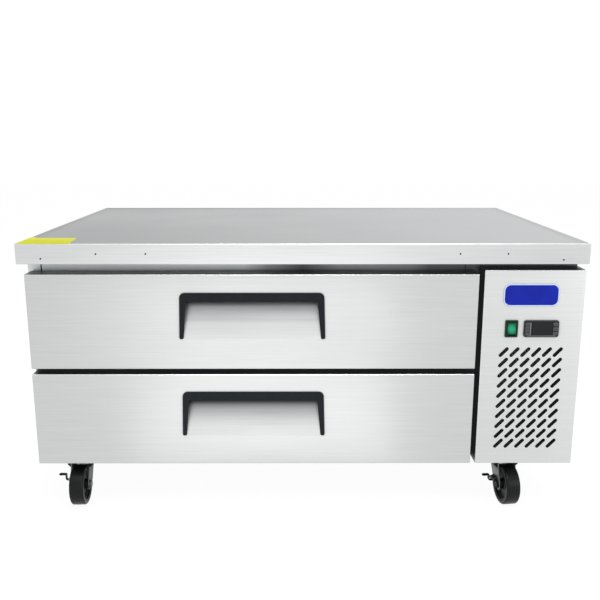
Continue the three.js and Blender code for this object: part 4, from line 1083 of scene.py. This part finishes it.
# Rocker switch: a frame with a pocket, and a lens that tips in it
switch = {"bodyInset": 3, "corner": 2.2, "face": ((0, 1.4), (0.4, 0.5), (1.4, 0)), "pocketInset": 4.9,
          "pocket": ((-0.8, 0.1, 1.2), (-0.1, 0.7, 0.8), (0, 1.6, 0.6), (0, 21, 0.6))}
rockerLens = {"gap": 0.5, "faceReach": 9, "dip": 2, "dipSteps": 6, "dipPower": 1.5, "chamfer": (0.5, 0.8),
              "backSteps": 14, "tilt": 8, "edge": 0.35}


def makeSwitchFrame():
    low, high = cadSpan("switch_bezel")
    inner = [(switch["pocketInset"] + inset, deep, radius) for inset, deep, radius in switch["pocket"]]
    piece = makeSolid("switchFrame", flangedBody(switch, low, high, inner, 4))
    paint(piece, [switchAbs])
    dress(piece, "cabinet", ["switch_bezel"])


# The lens is a round drum about its pivot, cut off by a face that dips in its middle
def makeSwitchRocker():
    low, high = cadSpan("switch_bezel")
    rockLow, rockHigh = cadSpan("switch_rocker")
    pivot = Vector(joints["rocker_tip"]["pos_m"]) / mm
    halfWidth = (rockHigh.x - rockLow.x) / 2
    reach = (high.z - low.z) / 2 - switch["pocketInset"] - rockerLens["gap"]
    face, dip, steps = rockerLens["faceReach"], rockerLens["dip"], rockerLens["dipSteps"]
    drop, margin = rockerLens["chamfer"]
    edge = math.sqrt(reach * reach - (face - dip) ** 2)
    shares = [step / steps for step in range(-steps, steps + 1)]
    outline = [(drop - face, -edge)]
    for share in shares:
        rise = dip * math.cos(share * math.pi / 2) ** rockerLens["dipPower"]
        outline.append((rise - face, share * (edge - margin)))
    outline += [(drop - face, edge), (dip - face, edge)]
    side = math.degrees(math.atan2(edge, dip - face))
    outline += arc((0, 0), reach, side, -side, rockerLens["backSteps"])[1:-1]
    outline += [(dip - face, -edge)]
    there, back = Matrix.Translation(pivot), Matrix.Translation(-pivot)
    tilt = Matrix.Rotation(math.radians(-rockerLens["tilt"]), 4, "X")
    drum = prism("x", pivot, outline, -halfWidth, halfWidth)
    lens = makeSolid("switchRocker", turned(drum, there @ tilt @ back))
    soften(lens, rockerLens["edge"], 2, 50)
    paint(lens, [greenLens((pivot.x, low.y, pivot.z))])
    dress(lens, "rocker", ["switch_rocker"])


# Temperature controller: a bezel with a dark window, an indicator block on the left and three keys on the
# right. The window, block and foot strip are (left, right, low, high) from the controller's centre
controller = {"corner": 5, "bodyInset": 3.8, "face": ((0, 1.8), (0.5, 0.7), (1.6, 0.1), (3, 0)),
              "window": (-24.6, 26.4, -13.4, 16.6), "windowRoom": 0.2, "windowTop": 0.4, "windowBack": 1.5,
              "recessDepth": 1.6, "recessCorner": 1.5, "windowCorner": 1.3, "cutAhead": 3,
              "block": (-38.6, -27.8, -15.6, 16), "blockRows": 4, "blockGap": 0.6, "blockRise": 0.25,
              "blockCorner": 0.8, "blockEdge": 0.2,
              "lineX": -26.2, "lineHalf": 0.8, "lineRise": 0.3, "lineCorner": 0.7, "sunk": 0.5,
              "foot": (-34, 34, -18.6, -15), "footRise": 0.2, "footCorner": 1.5}
controllerKeys = {"count": 3, "gap": 0.3, "travelRoom": 1.1, "corner": 1.2, "edge": 0.6, "wellCorner": 1}


# A flat block on the controller's face
def plate(centre, bounds, frontY, backY, corner=1.0, edge=0.3):
    left, right, low, high = bounds
    return slab("y", (centre[0] + (left + right) / 2, 0, centre[2] + (low + high) / 2), (right - left) / 2,
                (high - low) / 2, frontY, backY, corner, edge)


def makeControllerKeys(body, frontY):
    keys, gap = controllerKeys, controllerKeys["gap"]
    for key in range(1, keys["count"] + 1):
        low, high = cadSpan(f"controller_key_{key}")
        centre = (low + high) / 2
        halfX, halfZ = (high.x - low.x) / 2, (high.z - low.z) / 2
        well = makeSolid("well", slab(
            "y", (centre.x, 0, centre.z), halfX + gap, halfZ + gap, frontY - controller["cutAhead"],
            high.y + keys["travelRoom"], keys["wellCorner"], gap))
        combine(body, well, "DIFFERENCE")
        cap = makeSolid(f"controllerKey{key}", slab(
            "y", (centre.x, 0, centre.z), halfX, halfZ, low.y, high.y, keys["corner"], keys["edge"]))
        paint(cap, [keyAbs, markAbs], lambda middle, normal: 1 if abs(normal.y) < 0.95 else 0)
        dress(cap, f"key_{key}", [f"controller_key_{key}"])


def makeController():
    c = controller
    low, high = cadSpan("controller_body")
    centre = ((low.x + high.x) / 2, 0, (low.z + high.z) / 2)
    body = makeSolid("controllerBody", flangedBody(c, low, high))
    recess = makeSolid("recess", plate(
        centre, c["window"], low.y - c["cutAhead"], low.y + c["recessDepth"], c["recessCorner"]))
    combine(body, recess, "DIFFERENCE")
    makeControllerKeys(body, low.y)
    paint(body, [controllerAbs])
    dress(body, "cabinet", ["controller_body"])

    left, right, foot, head = c["window"]
    room = c["windowRoom"]
    window = makeSolid("controllerWindow", plate(
        centre, (left + room, right - room, foot + room, head - room), low.y + c["windowTop"],
        low.y + c["windowBack"], c["windowCorner"]))
    paint(window, [windowAcrylic])
    dress(window, "cabinet")

    left, right, foot, head = c["block"]
    step, sunk, gap = (head - foot) / c["blockRows"], c["sunk"], c["blockGap"]
    item = makeSolid("indicator", plate((0, 0, 0), (0, right - left, gap, step - gap), -c["blockRise"], sunk,
                                        c["blockCorner"], c["blockEdge"]))
    block = grow("controllerIndicators", rows, {
        "Item": item, "Columns": 1, "Rows": c["blockRows"], "Finish": stripAbs, "Step Up": (0, 0, step * mm),
        "Start": Vector((centre[0] + left, low.y, centre[2] + foot)) * mm})
    dress(block, "cabinet")
    strip = makeSolid("controllerFootStrip", plate(
        centre, c["foot"], low.y - c["footRise"], low.y + sunk, c["footCorner"]))
    paint(strip, [stripAbs])
    dress(strip, "cabinet")
    line = makeSolid("controllerDivider", plate(
        centre, (c["lineX"] - c["lineHalf"], c["lineX"] + c["lineHalf"], foot, head), low.y - c["lineRise"],
        low.y + sunk, c["lineCorner"]))
    paint(line, [markAbs])
    dress(line, "cabinet")


makeCoverPanel()
makeBadge()
makeSwitchFrame()
makeSwitchRocker()
makeController()
print("machine cover made")

# Casters: a lathe-turned wheel, a pressed fork, an axle bolt, a top plate and, in front, a brake lever.
# Points of the rim's lip are (out from the rim, in from the wheel's side)
caster = {"radius": 51, "width": 36, "rim": 38, "web": 8, "hub": 13, "hubHalf": 19, "bore": 6.5,
          "hubChamfer": 1, "hubFillet": 3, "rimSlope": (4, 5),
          "rimLip": ((0, 2), (1.5, 1), (3, 1), (3.6, 1.8), (4.4, 0.6)), "tyreStart": 3.4, "tyreRound": 5.5,
          "tyreArc": (88, 12), "crownDrop": 0.25, "crownShare": 0.45, "legIn": 20.3, "legOut": 23.3,
          "crownTop": 117.9, "crownFoot": 105.9, "crownRadius": 34, "trail": 35}


def casterFrame(corner):
    swivel = joints[corner + "_swivel"]
    axis = joints[corner + "_wheel_roll"]["axis"]
    place = Vector(swivel["pos_m"]) / mm
    turn = math.atan2(axis[1], axis[0])
    return Matrix.Translation((place.x, place.y, 0)) @ Matrix.Rotation(turn, 4, "Z")


def makeWheel(corner, place):
    c = caster
    half, outer, bend = c["width"] / 2, c["radius"], c["tyreRound"]
    side = [(c["bore"], c["hubHalf"]), (c["hub"] - c["hubChamfer"], c["hubHalf"]),
            (c["hub"], c["hubHalf"] - c["hubChamfer"]), (c["hub"], c["web"] + c["hubFillet"]),
            (c["hub"] + c["hubFillet"], c["web"]), (c["rim"] - c["rimSlope"][0], c["web"]),
            (c["rim"], c["web"] + c["rimSlope"][1])]
    side += [(c["rim"] + out, half - inward) for out, inward in c["rimLip"]]
    shoulder = arc((0, 0), bend, *c["tyreArc"], 6)
    side += [(outer - bend + across, half - bend + up) for across, up in shoulder]
    side += [(outer - c["crownDrop"], half * c["crownShare"]), (outer, 0)]
    profile = side + [(radius, -along) for radius, along in reversed(side[:-1])]
    shape = turned(lathe("x", (0, -c["trail"], outer), profile, 64, closed=True), place)
    piece = makeSolid(corner + "Wheel", shape)

    def tyreOrCore(middle, normal):
        level = place.inverted() @ middle
        return 0 if math.hypot(level.y + c["trail"], level.z - outer) > c["rim"] + c["tyreStart"] else 1

    paint(piece, [tyreRubber, wheelCore], tyreOrCore)
    dress(piece, corner + "_wheel", [corner + "_caster_wheel"])


# Fork: two legs, a bridge, a round crown with a rivet under it, and a flare beside each leg's top. Points of
# the crown are from its radius and its foot or top, those of the rivet from the crown's foot
fork = {"topFront": 28, "topBack": 28, "footRadius": 13, "footBack": 29, "drop": 3, "sheet": 3, "round": 6,
        "heel": 4, "topRound": 2, "kneeRound": 10, "edge": 0.7, "brightIn": 4, "brightUnder": 8,
        "bridgeInset": 0.2, "bridgeCorner": 2, "bridgeEdge": 0.8,
        "flare": ((22, 90), (32.5, 101), (32.5, 107), (22, 107)), "flareReach": (-26, 20),
        "crownUnder": ((-5, 0.5), (-2.5, 1.2), (-0.6, 3.5), (0, 6)),
        "crownEdge": ((0, -1.2), (-0.8, -0.3), (-2.4, 0)),
        "rivet": ((0, -3.4), (5, -3.2), (8.2, -2), (9.6, -0.4), (9.6, 1.5), (0, 1.5))}


# A round hole through a piece, reach to each side of its centre
def drill(piece, axis, centre, radius, reach=40):
    bore = lathe(axis, centre, [(0, -reach), (radius, -reach), (radius, reach), (0, reach)], 24)
    combine(piece, makeSolid("bore", bore), "DIFFERENCE")


# Moves a piece from the fork's own axes to its caster
def stand(piece, place):
    piece.data.transform(Matrix.Scale(mm, 4) @ place @ Matrix.Scale(1 / mm, 4))


def makeFork(corner, place):
    c, f = caster, fork
    top, heel = c["crownFoot"] + f["sheet"], c["radius"] - f["footRadius"]
    outline = filleted([
        (f["topBack"], top, f["topRound"]), (-f["topFront"], top, f["topRound"]),
        (-c["trail"] - f["footRadius"], c["radius"] + f["drop"], f["kneeRound"]),
        (-c["trail"] - f["footRadius"], heel, f["footRadius"]),
        (f["footRadius"] - c["trail"] - f["heel"], heel, f["footRadius"]),
        (f["footBack"] - c["trail"], c["radius"], f["round"])], 6)
    legs = [prism("x", (0, 0, 0), outline, low, low + f["sheet"]) for low in (-c["legOut"], c["legIn"])]
    piece = makeSolid(corner + "Fork", joinShapes(*legs))
    soften(piece, f["edge"], 2)
    inset = f["bridgeInset"]
    joined = [makeSolid("bridge", slab(
        "z", (0, 0, 0), c["legOut"] - inset, f["topFront"] - inset, c["crownFoot"], top, f["bridgeCorner"],
        f["bridgeEdge"]))]
    for side in (-1, 1):
        flare = [(side * across, up) for across, up in f["flare"]]
        joined.append(makeSolid("flare", prism("y", (0, 0, 0), flare[::side], *f["flareReach"])))
    foot, head, wide = c["crownFoot"], c["crownTop"], c["crownRadius"]
    crown = [(0, foot + f["crownUnder"][0][1])] + [(wide + out, foot + up) for out, up in f["crownUnder"]]
    crown += [(wide + out, head + up) for out, up in f["crownEdge"]] + [(0, head)]
    rivet = [(radius, foot + up) for radius, up in f["rivet"]]
    joined += [makeSolid("crown", lathe("z", (0, 0, 0), crown, 48)),
               makeSolid("rivet", lathe("z", (0, 0, 0), rivet, 28))]
    for part in joined:
        combine(piece, part, "UNION")
    drill(piece, "x", (0, -c["trail"], c["radius"]), c["bore"])
    if corner + "_brake_press" in joints:
        for ear in leverEars(corner, place):
            combine(piece, ear, "UNION")
    stand(piece, place)
    level = place.to_3x3().inverted()
    middleX = (place @ Vector((0, 0, 0))).x

    # Painted shade and highlight: sides that face right get a darker zinc, and the left leg's front edge below the
    # crown a lighter zinc
    def plateOf(middle, normal):
        across = level @ normal
        if across.x > 0.7:
            return 1
        onLeft = middle.x < middleX - c["legIn"] + f["brightIn"]
        below = middle.z < c["crownFoot"] - f["brightUnder"]
        return 2 if across.y < -0.5 and onLeft and below else 0

    paint(piece, [forkZinc, shadedZinc, zincEdgeHighlight], plateOf)
    dress(piece, corner + "_fork", [corner + "_caster_fork"])


# Brake lever: a bent strap on a pin beside the left leg, ending in a foot tab; its heights and reaches are
# from the pin
lever = {"pin": 2.5, "pinPlay": 0.5, "sleeve": 5, "sleeveEdge": 0.6, "width": 14, "strapWidth": 8,
         "strap": 3.4, "rise": 11, "reach": 13.4, "sheet": 1.5, "edge": 0.5, "root": 1, "rootThick": 2.4,
         "bend": 6, "footLift": 0.4, "heel": 3, "topRound": 1.5, "innerRound": 1.2, "tabEnd": 29.6,
         "tabWidth": 9, "tabTilt": 20, "tabRound": 3.5, "tabRootRound": 0.5, "tabOverlap": 1.6, "ear": 2.5,
         "earGap": 0.4, "earOverlap": 0.6, "earSpread": 2, "earNose": 3, "earRounds": (1, 4)}


def leverPinOf(corner, place):
    pin = Vector(joints[corner + "_brake_press"]["pos_m"]) / mm
    return place.inverted() @ pin


# Two ears on the fork and the pin between them
def leverEars(corner, place):
    pin = leverPinOf(corner, place)
    gap = lever["width"] / 2 + lever["earGap"]
    onLeg, tip = lever["earOverlap"] - caster["legOut"], pin.x - lever["sleeve"]
    tall, nose = lever["sleeve"] + lever["earSpread"], lever["earNose"]
    rootRound, tipRound = lever["earRounds"]
    outline = filleted([(onLeg, pin.z - tall, rootRound), (tip, pin.z - nose, tipRound),
                        (tip, pin.z + nose, tipRound), (onLeg, pin.z + tall, rootRound)], 4)
    ears = [makeSolid("ear", prism("y", (0, pin.y, 0), outline, low, low + lever["ear"]))
            for low in (-gap - lever["ear"], gap)]
    reach, radius = gap + lever["ear"], lever["pin"]
    rod = lathe("y", pin, [(0, -reach), (radius, -reach), (radius, reach), (0, reach)], 20)
    return [*ears, makeSolid("pin", rod)]


def makeLever(corner, place):
    pin = leverPinOf(corner, place)
    half, across, root = lever["width"] / 2, lever["strapWidth"] / 2, lever["root"]
    foot, top, out = -lever["sleeve"], lever["rise"] + lever["sheet"], -lever["reach"]
    strapIn = out + lever["strap"]
    strap = filleted([
        (root, foot, 0), (out, foot + lever["footLift"], lever["bend"]), (out, top, lever["topRound"]),
        (strapIn, top, lever["innerRound"]), (strapIn, foot + lever["heel"], lever["heel"]),
        (root, foot + lever["rootThick"], 0)], 5)
    piece = makeSolid(corner + "BrakeLever", prism("y", pin, strap, -across, across))
    soften(piece, lever["edge"], 2)
    radius, edge = lever["sleeve"], lever["sleeveEdge"]
    sleeve = makeSolid("sleeve", lathe("y", pin, [
        (0, -half), (radius - edge, -half), (radius, edge - half), (radius, half - edge),
        (radius - edge, half), (0, half)], 32))
    combine(piece, sleeve, "UNION")
    wide, end, start = lever["tabWidth"] / 2, -lever["tabEnd"], out + lever["tabOverlap"]
    bend, rootBend = lever["tabRound"], lever["tabRootRound"]
    tabOutline = filleted([(start, -across, rootBend), (end, -wide, bend), (end, wide, bend),
                           (start, across, rootBend)], 5)
    level = Matrix.Translation(Vector(pin) + Vector((0, 0, lever["rise"])))
    tilt = Matrix.Rotation(math.radians(lever["tabTilt"]), 4, "X")
    tab = makeSolid("tab", turned(prism("z", (0, 0, 0), tabOutline, 0, lever["sheet"]), level @ tilt))
    soften(tab, lever["edge"], 2)
    combine(piece, tab, "UNION")
    drill(piece, "y", pin, lever["pin"] + lever["pinPlay"], 20)
    stand(piece, place)
    paint(piece, [blackSteel])
    dress(piece, corner + "_brake", [corner + "_brake_lever"])


# Axle bolt with a hexagon head, a nut and washers. Points are (radius, distance out from the leg)
bolt = {"radius": 6, "through": 1, "washer": ((0, 0.3), (11, 0.3), (11, 1.1), (10.7, 1.3), (0, 1.3)),
        "head": ((0, 1.2), (9, 1.2), (9, 4.4), (7.7, 5.3), (4.5, 5.3), (4.05, 4.8), (0, 4.8))}


def makeAxle(corner, place):
    centre = (0, -caster["trail"], caster["radius"])
    leg, radius = caster["legOut"], bolt["radius"]
    reach = leg + bolt["through"]
    shapes = [lathe("x", centre, [(0, -reach), (radius, -reach), (radius, reach), (0, reach)], 24)]
    for side in (-1, 1):
        for profile, sides in ((bolt["washer"], 28), (bolt["head"], 6)):
            points = [(wide, side * (leg + out)) for wide, out in profile]
            shapes.append(lathe("x", centre, points, sides))
    piece = makeSolid(corner + "AxleBolt", turned(joinShapes(*shapes), place))
    level = place.inverted()
    paint(piece, [zincPlate, blackZinc], lambda middle, normal: 1 if (level @ middle).x < -leg else 0)
    dress(piece, corner + "_fork", [corner + "_caster_axle"], 25)


# Top plate with its race, and four bolts. Points of the race's side are from its radius and its foot, those
# of its top from the plate's underside
casterPlate = {"halfLength": 47.5, "halfWidth": 33.5, "corner": 6, "sheet": 3, "edge": 0.6, "raceRadius": 31,
               "raceFoot": 118.2, "raceSide": ((-2, 0), (-0.4, 1), (0, 3)), "raceTop": ((-1, -2), (-0.2, 1)),
               "top": 130.7, "holeX": 37, "holeY": 23,
               "washer": ((0, -0.2), (7.6, -0.2), (7.6, -1.2), (0, -1.2)),
               "bolt": ((0, -1.1), (6, -1.1), (6, -4.4), (5.2, -5), (0, -5))}


def makeCasterPlate(corner):
    p = casterPlate
    place = Vector(joints[corner + "_swivel"]["pos_m"]) / mm
    centre = (place.x, place.y, 0)
    foot = p["top"] - p["sheet"]
    piece = makeSolid(corner + "CasterPlate", slab(
        "z", centre, p["halfLength"], p["halfWidth"], foot, p["top"], p["corner"], p["edge"]))
    race = [(0, p["raceFoot"])] + [(p["raceRadius"] + out, p["raceFoot"] + up) for out, up in p["raceSide"]]
    race += [(p["raceRadius"] + out, foot + up) for out, up in p["raceTop"]]
    race += [(0, race[-1][1])]
    combine(piece, makeSolid("race", lathe("z", centre, race, 48)), "UNION")
    paint(piece, [zincPlate])
    dress(piece, "cabinet", [corner + "_caster_plate"])
    heads = [(place.x + right * p["holeX"], place.y + back * p["holeY"], foot)
             for right in (-1, 1) for back in (-1, 1)]
    item = makeSolid("plateBolt", joinShapes(
        lathe("z", (0, 0, 0), p["washer"], 20), lathe("z", (0, 0, 0), p["bolt"], 6)))
    bolts = grow(corner + "PlateBolts", scatter, {"Item": item, "Finish": zincPlate}, heads)
    dress(bolts, "cabinet", (), 25)


for corner in corners:
    place = casterFrame(corner)
    makeWheel(corner, place)
    makeFork(corner, place)
    makeAxle(corner, place)
    makeCasterPlate(corner)
    if corner + "_brake_press" in joints:
        makeLever(corner, place)
print("casters made")

# Condenser: thin fins on two winding tubes between two end plates
condenser = {"bendRoom": 17.4, "endPlate": 1.5, "plateCorner": 1, "plateEdge": 0.3, "finPitch": 3.6,
             "fin": 0.35, "finInset": 1, "finCorner": 0.5, "finEdge": 0.05, "tube": 4.7, "tubeRows": 12,
             "tubePast": 1}


# A round tube along a path of (along, up) points in an upright plane that the Y axis crosses
def sweptTube(path, y, radius, sides=12):
    points = [Vector((along, y, up)) for along, up in path]
    rings = []
    for index, point in enumerate(points):
        before, after = points[max(index - 1, 0)], points[min(index + 1, len(points) - 1)]
        level = Vector((0, 1, 0))
        across = (after - before).normalized().cross(level)
        turns = [step / sides * math.tau for step in range(sides)]
        rings.append([point + (level * math.cos(turn) + across * math.sin(turn)) * radius for turn in turns])
    return loft(rings)


def windingPath(left, right, foot, pitch, count):
    path, bend = [], pitch / 2
    for row in range(count):
        side, up = (-1 if row % 2 else 1), foot + row * pitch
        start, end = (right, left) if row % 2 else (left, right)
        path += [(start, up), (end, up)]
        if row < count - 1:
            turns = [math.radians(turn) for turn in range(30, 180, 30)]
            path += [(end + side * bend * math.sin(turn), up + bend - bend * math.cos(turn))
                     for turn in turns]
    return path


def makeCondenser():
    c = condenser
    low, high = cadSpan("condenser_coil")
    left, right = low.x + c["bendRoom"], high.x - c["bendRoom"]
    deep, tall = (high.y - low.y) / 2, (high.z - low.z) / 2
    centre = (0, (low.y + high.y) / 2, (low.z + high.z) / 2)
    corner, edge, sheet = c["plateCorner"], c["plateEdge"], c["endPlate"]
    ends = [slab("x", centre, deep, tall, x, x + sheet, corner, edge) for x in (left, right - sheet)]
    plates = makeSolid("condenserEndPlates", joinShapes(*ends))
    paint(plates, [zincSheet])
    dress(plates, "cabinet", ["condenser_coil"])
    fin = makeSolid("fin", slab("x", (0, 0, 0), deep - c["finInset"], tall - c["finInset"], 0, c["fin"],
                                c["finCorner"], c["finEdge"], 1))
    count = int((right - left - sheet * 2) / c["finPitch"])
    first = (left + right - (count - 1) * c["finPitch"]) / 2
    fins = grow("condenserFins", rows, {
        "Item": fin, "Columns": count, "Rows": 1, "Start": Vector((first, centre[1], centre[2])) * mm,
        "Step Across": (c["finPitch"] * mm, 0, 0), "Finish": finAluminium})
    dress(fins, "cabinet")
    pitch = tall * 2 / c["tubeRows"]
    path = windingPath(left - c["tubePast"], right + c["tubePast"], low.z + pitch / 2, pitch, c["tubeRows"])
    tubes = makeSolid("condenserTubes", joinShapes(*[
        sweptTube(path, centre[1] + side * deep / 2, c["tube"]) for side in (-1, 1)]))
    paint(tubes, [copperTube])
    dress(tubes, "cabinet")


makeCondenser()

# Back panel: a pressed hood over each louvre opening, and screws round the edge. A hood's ends are (half
# length, share of its height), and a screw's profile is (share of its radius, share of its height)
louvres = {"centreX": 536.5, "faceY": 411, "firstZ": 222.8, "pitch": 22, "count": 14, "rise": 5.5, "out": 4.5,
           "sheet": 0.8, "ends": ((77, 0.06), (76.4, 0.4), (75, 0.75), (72, 0.95), (68, 1))}
backScrews = {"inset": 9, "headZ": 614, "radius": 3.4, "height": 1.8, "across": 7, "up": 4,
              "profile": ((0, 0), (1, 0), (1, 0.5), (0.75, 1), (0.4, 1), (0.35, 0.4), (0, 0.4))}


def makeBackPanel():
    low, high = cadSpan("back_panel")
    panel = finishedCopy("back_panel", 0.3, 1)
    paint(panel, [zincSheet])
    dress(panel, "cabinet", ["back_panel"])
    rise, out, sheet = louvres["rise"], louvres["out"], louvres["sheet"]
    bend = [math.radians(turn) for turn in (0, 18, 36, 54, 72, 90)]
    outline = [(out * math.sin(turn), rise * (2 * math.cos(turn) - 1)) for turn in bend]
    inner = rise * 2 - sheet
    outline += [((out - sheet) * math.sin(turn), inner * math.cos(turn) - rise) for turn in reversed(bend)]
    ends = louvres["ends"]
    rings = [[onAxis("x", (louvres["centreX"], 0, 0), away * share, up, along) for away, up in outline]
             for along, share in [(-along, share) for along, share in ends] + list(reversed(ends))]
    hoods = grow("louvreHoods", rows, {
        "Item": makeSolid("hood", loft(rings)), "Columns": 1, "Rows": louvres["count"],
        "Start": Vector((0, louvres["faceY"], louvres["firstZ"])) * mm,
        "Step Up": (0, 0, louvres["pitch"] * mm), "Finish": zincSheet})
    dress(hoods, "cabinet")
    s = backScrews
    left, right = low.x + s["inset"], high.x - s["inset"]
    foot, head = low.z + s["inset"], s["headZ"]
    places = [(left + (right - left) * step / (s["across"] - 1), louvres["faceY"], z)
              for z in (foot, head) for step in range(s["across"])]
    places += [(x, louvres["faceY"], foot + (head - foot) * step / s["up"]) for x in (left, right)
               for step in range(1, s["up"])]
    screw = makeSolid("screw", lathe("y", (0, 0, 0), [
        (s["radius"] * out, s["height"] * up) for out, up in s["profile"]], 16))
    screws = grow("backScrews", scatter, {"Item": screw, "Finish": zincPlate}, places)
    dress(screws, "cabinet")


makeBackPanel()

# These keep the CAD's shape. The sheet pieces get a small round on their edges, so that they catch the light
edgeRound = {
    "left_side": 0.5, "right_side": 0.5, "base_pan": 0.4, "liner": 0.4, "unit_base": 0.5, "fan_shroud": 0.5,
    "drawer_upper_frame": 0.6, "drawer_lower_frame": 0.6, "compressor": 1.2, "evaporator_cover": 0.4,
}
finishOf = {
    "left_side": shellSteel, "right_side": shellSteel, "base_pan": zincSheet, "liner": linerSteel,
    "foam_core": foam, "unit_base": zincSheet, "fan_shroud": zincSheet, "condenser_fan": fanPolypropylene,
    "compressor": blackSteel, "refrigerant_line": copperTube, "evaporator_cover": linerSteel,
    "evaporator_coil": finAluminium, "evaporator_fan": fanPolypropylene,
}
for drawer in drawers:
    finishOf[drawer + "_frame"] = linerSteel
    for side in ("left", "right"):
        for rail in ("outer", "middle"):
            node = f"{drawer}_{side}_{rail}_rail"
            finishOf[node] = zincPlate
            edgeRound[node] = 0.7
for node, finish in finishOf.items():
    if node in edgeRound:
        piece = finishedCopy(node, edgeRound[node])
        paint(piece, [finish])
        dress(piece, bodyOfNode[node], [node])
        continue
    materials = frame["nodes"][node].data.materials
    if len(materials) == 0:
        materials.append(finish)
    for index in range(len(materials)):
        materials[index] = finish
print("cabinet, slides and machine bay finished")

# Studio: a white room, a pale floor that keeps a faint shadow, and soft lamps
studio = {"fill": 0.62, "extraWhite": 0.05, "floorShow": 0.9, "floorGlow": 1.04, "floorHalf": 12000,
          "floorDeep": 20, "floorCorner": 5, "floorEdge": 1}
lamps = {
    "frontSoftbox": {"place": (40, -2300, 3200), "aim": (0, -300, 450), "size": (1500, 900), "power": 46},
    "lowSoftbox": {"place": (-195, -1750, 190), "aim": (-195, -400, 360), "size": (1100, 240), "power": 0.88},
    "floorSoftbox": {"place": (-105, -815, 102), "aim": (-105, -411, 506), "size": (740, 280), "power": 0.32},
    "rightSoftbox": {"place": (2300, -2300, 1100), "aim": (400, -300, 350), "size": (1200, 1200),
                     "power": 12},
    "topSoftbox": {"place": (900, 500, 3000), "aim": (200, 0, 600), "size": (2000, 1800), "power": 24},
}


# 1 where the camera sees a surface directly, in a mirror or through glass
def seenDirectly(tree):
    paths = addNode(tree, "ShaderNodeLightPath").outputs
    seen = paths["Is Camera Ray"]
    for ray in ("Is Glossy Ray", "Is Transmission Ray"):
        seen = addNode(tree, "ShaderNodeMath", {0: seen, 1: paths[ray]}, operation="MAXIMUM").outputs[0]
    return seen


def makeStudio():
    world = bpy.data.worlds.new("white room")
    bpy.context.scene.world = world
    world.use_nodes = True
    tree = world.node_tree
    strength = addNode(tree, "ShaderNodeMath", {
        0: seenDirectly(tree), 1: 1 - studio["fill"], 2: studio["fill"]}, operation="MULTIPLY_ADD")
    inPicture = addNode(tree, "ShaderNodeLightPath").outputs["Is Camera Ray"]
    whiter = addNode(tree, "ShaderNodeMath", {0: inPicture, 1: studio["extraWhite"], 2: strength.outputs[0]},
                     operation="MULTIPLY_ADD")
    tree.nodes["Background"].inputs["Color"].default_value = (1, 1, 1, 1)
    tree.links.new(whiter.outputs[0], tree.nodes["Background"].inputs["Strength"])
    reach = studio["floorHalf"]
    floor = makeSolid("paleFloor", slab("z", (0, 0, 0), reach, reach, -studio["floorDeep"], 0,
                                        studio["floorCorner"], studio["floorEdge"]))
    material = bpy.data.materials.new("pale floor")
    material.use_nodes = True
    tree = material.node_tree
    paint(floor, [material])
    white = addNode(tree, "ShaderNodeBsdfDiffuse", {"Color": (0.95, 0.95, 0.95, 1)})
    shown = addNode(tree, "ShaderNodeEmission", {"Color": (1, 1, 1, 1), "Strength": studio["floorGlow"]})
    share = addNode(tree, "ShaderNodeMath", {0: seenDirectly(tree), 1: studio["floorShow"]},
                    operation="MULTIPLY")
    mixed = addNode(tree, "ShaderNodeMixShader", {
        0: share.outputs[0], 1: white.outputs[0], 2: shown.outputs[0]})
    tree.links.new(mixed.outputs[0], tree.nodes["Material Output"].inputs["Surface"])
    for name, lamp in lamps.items():
        light = bpy.data.lights.new(name, "AREA")
        light.shape = "RECTANGLE"
        light.size, light.size_y = lamp["size"][0] * mm, lamp["size"][1] * mm
        light.energy = lamp["power"]
        holder = bpy.data.objects.new(name, light)
        holder.location = Vector(lamp["place"]) * mm
        holder.rotation_mode = "QUATERNION"
        holder.rotation_quaternion = (Vector(lamp["aim"]) - Vector(lamp["place"])).to_track_quat("-Z", "Y")
        holder.visible_camera = False
        bpy.context.scene.collection.objects.link(holder)


makeStudio()
bpy.context.scene.view_settings.view_transform = "Standard"
print("studio lit")
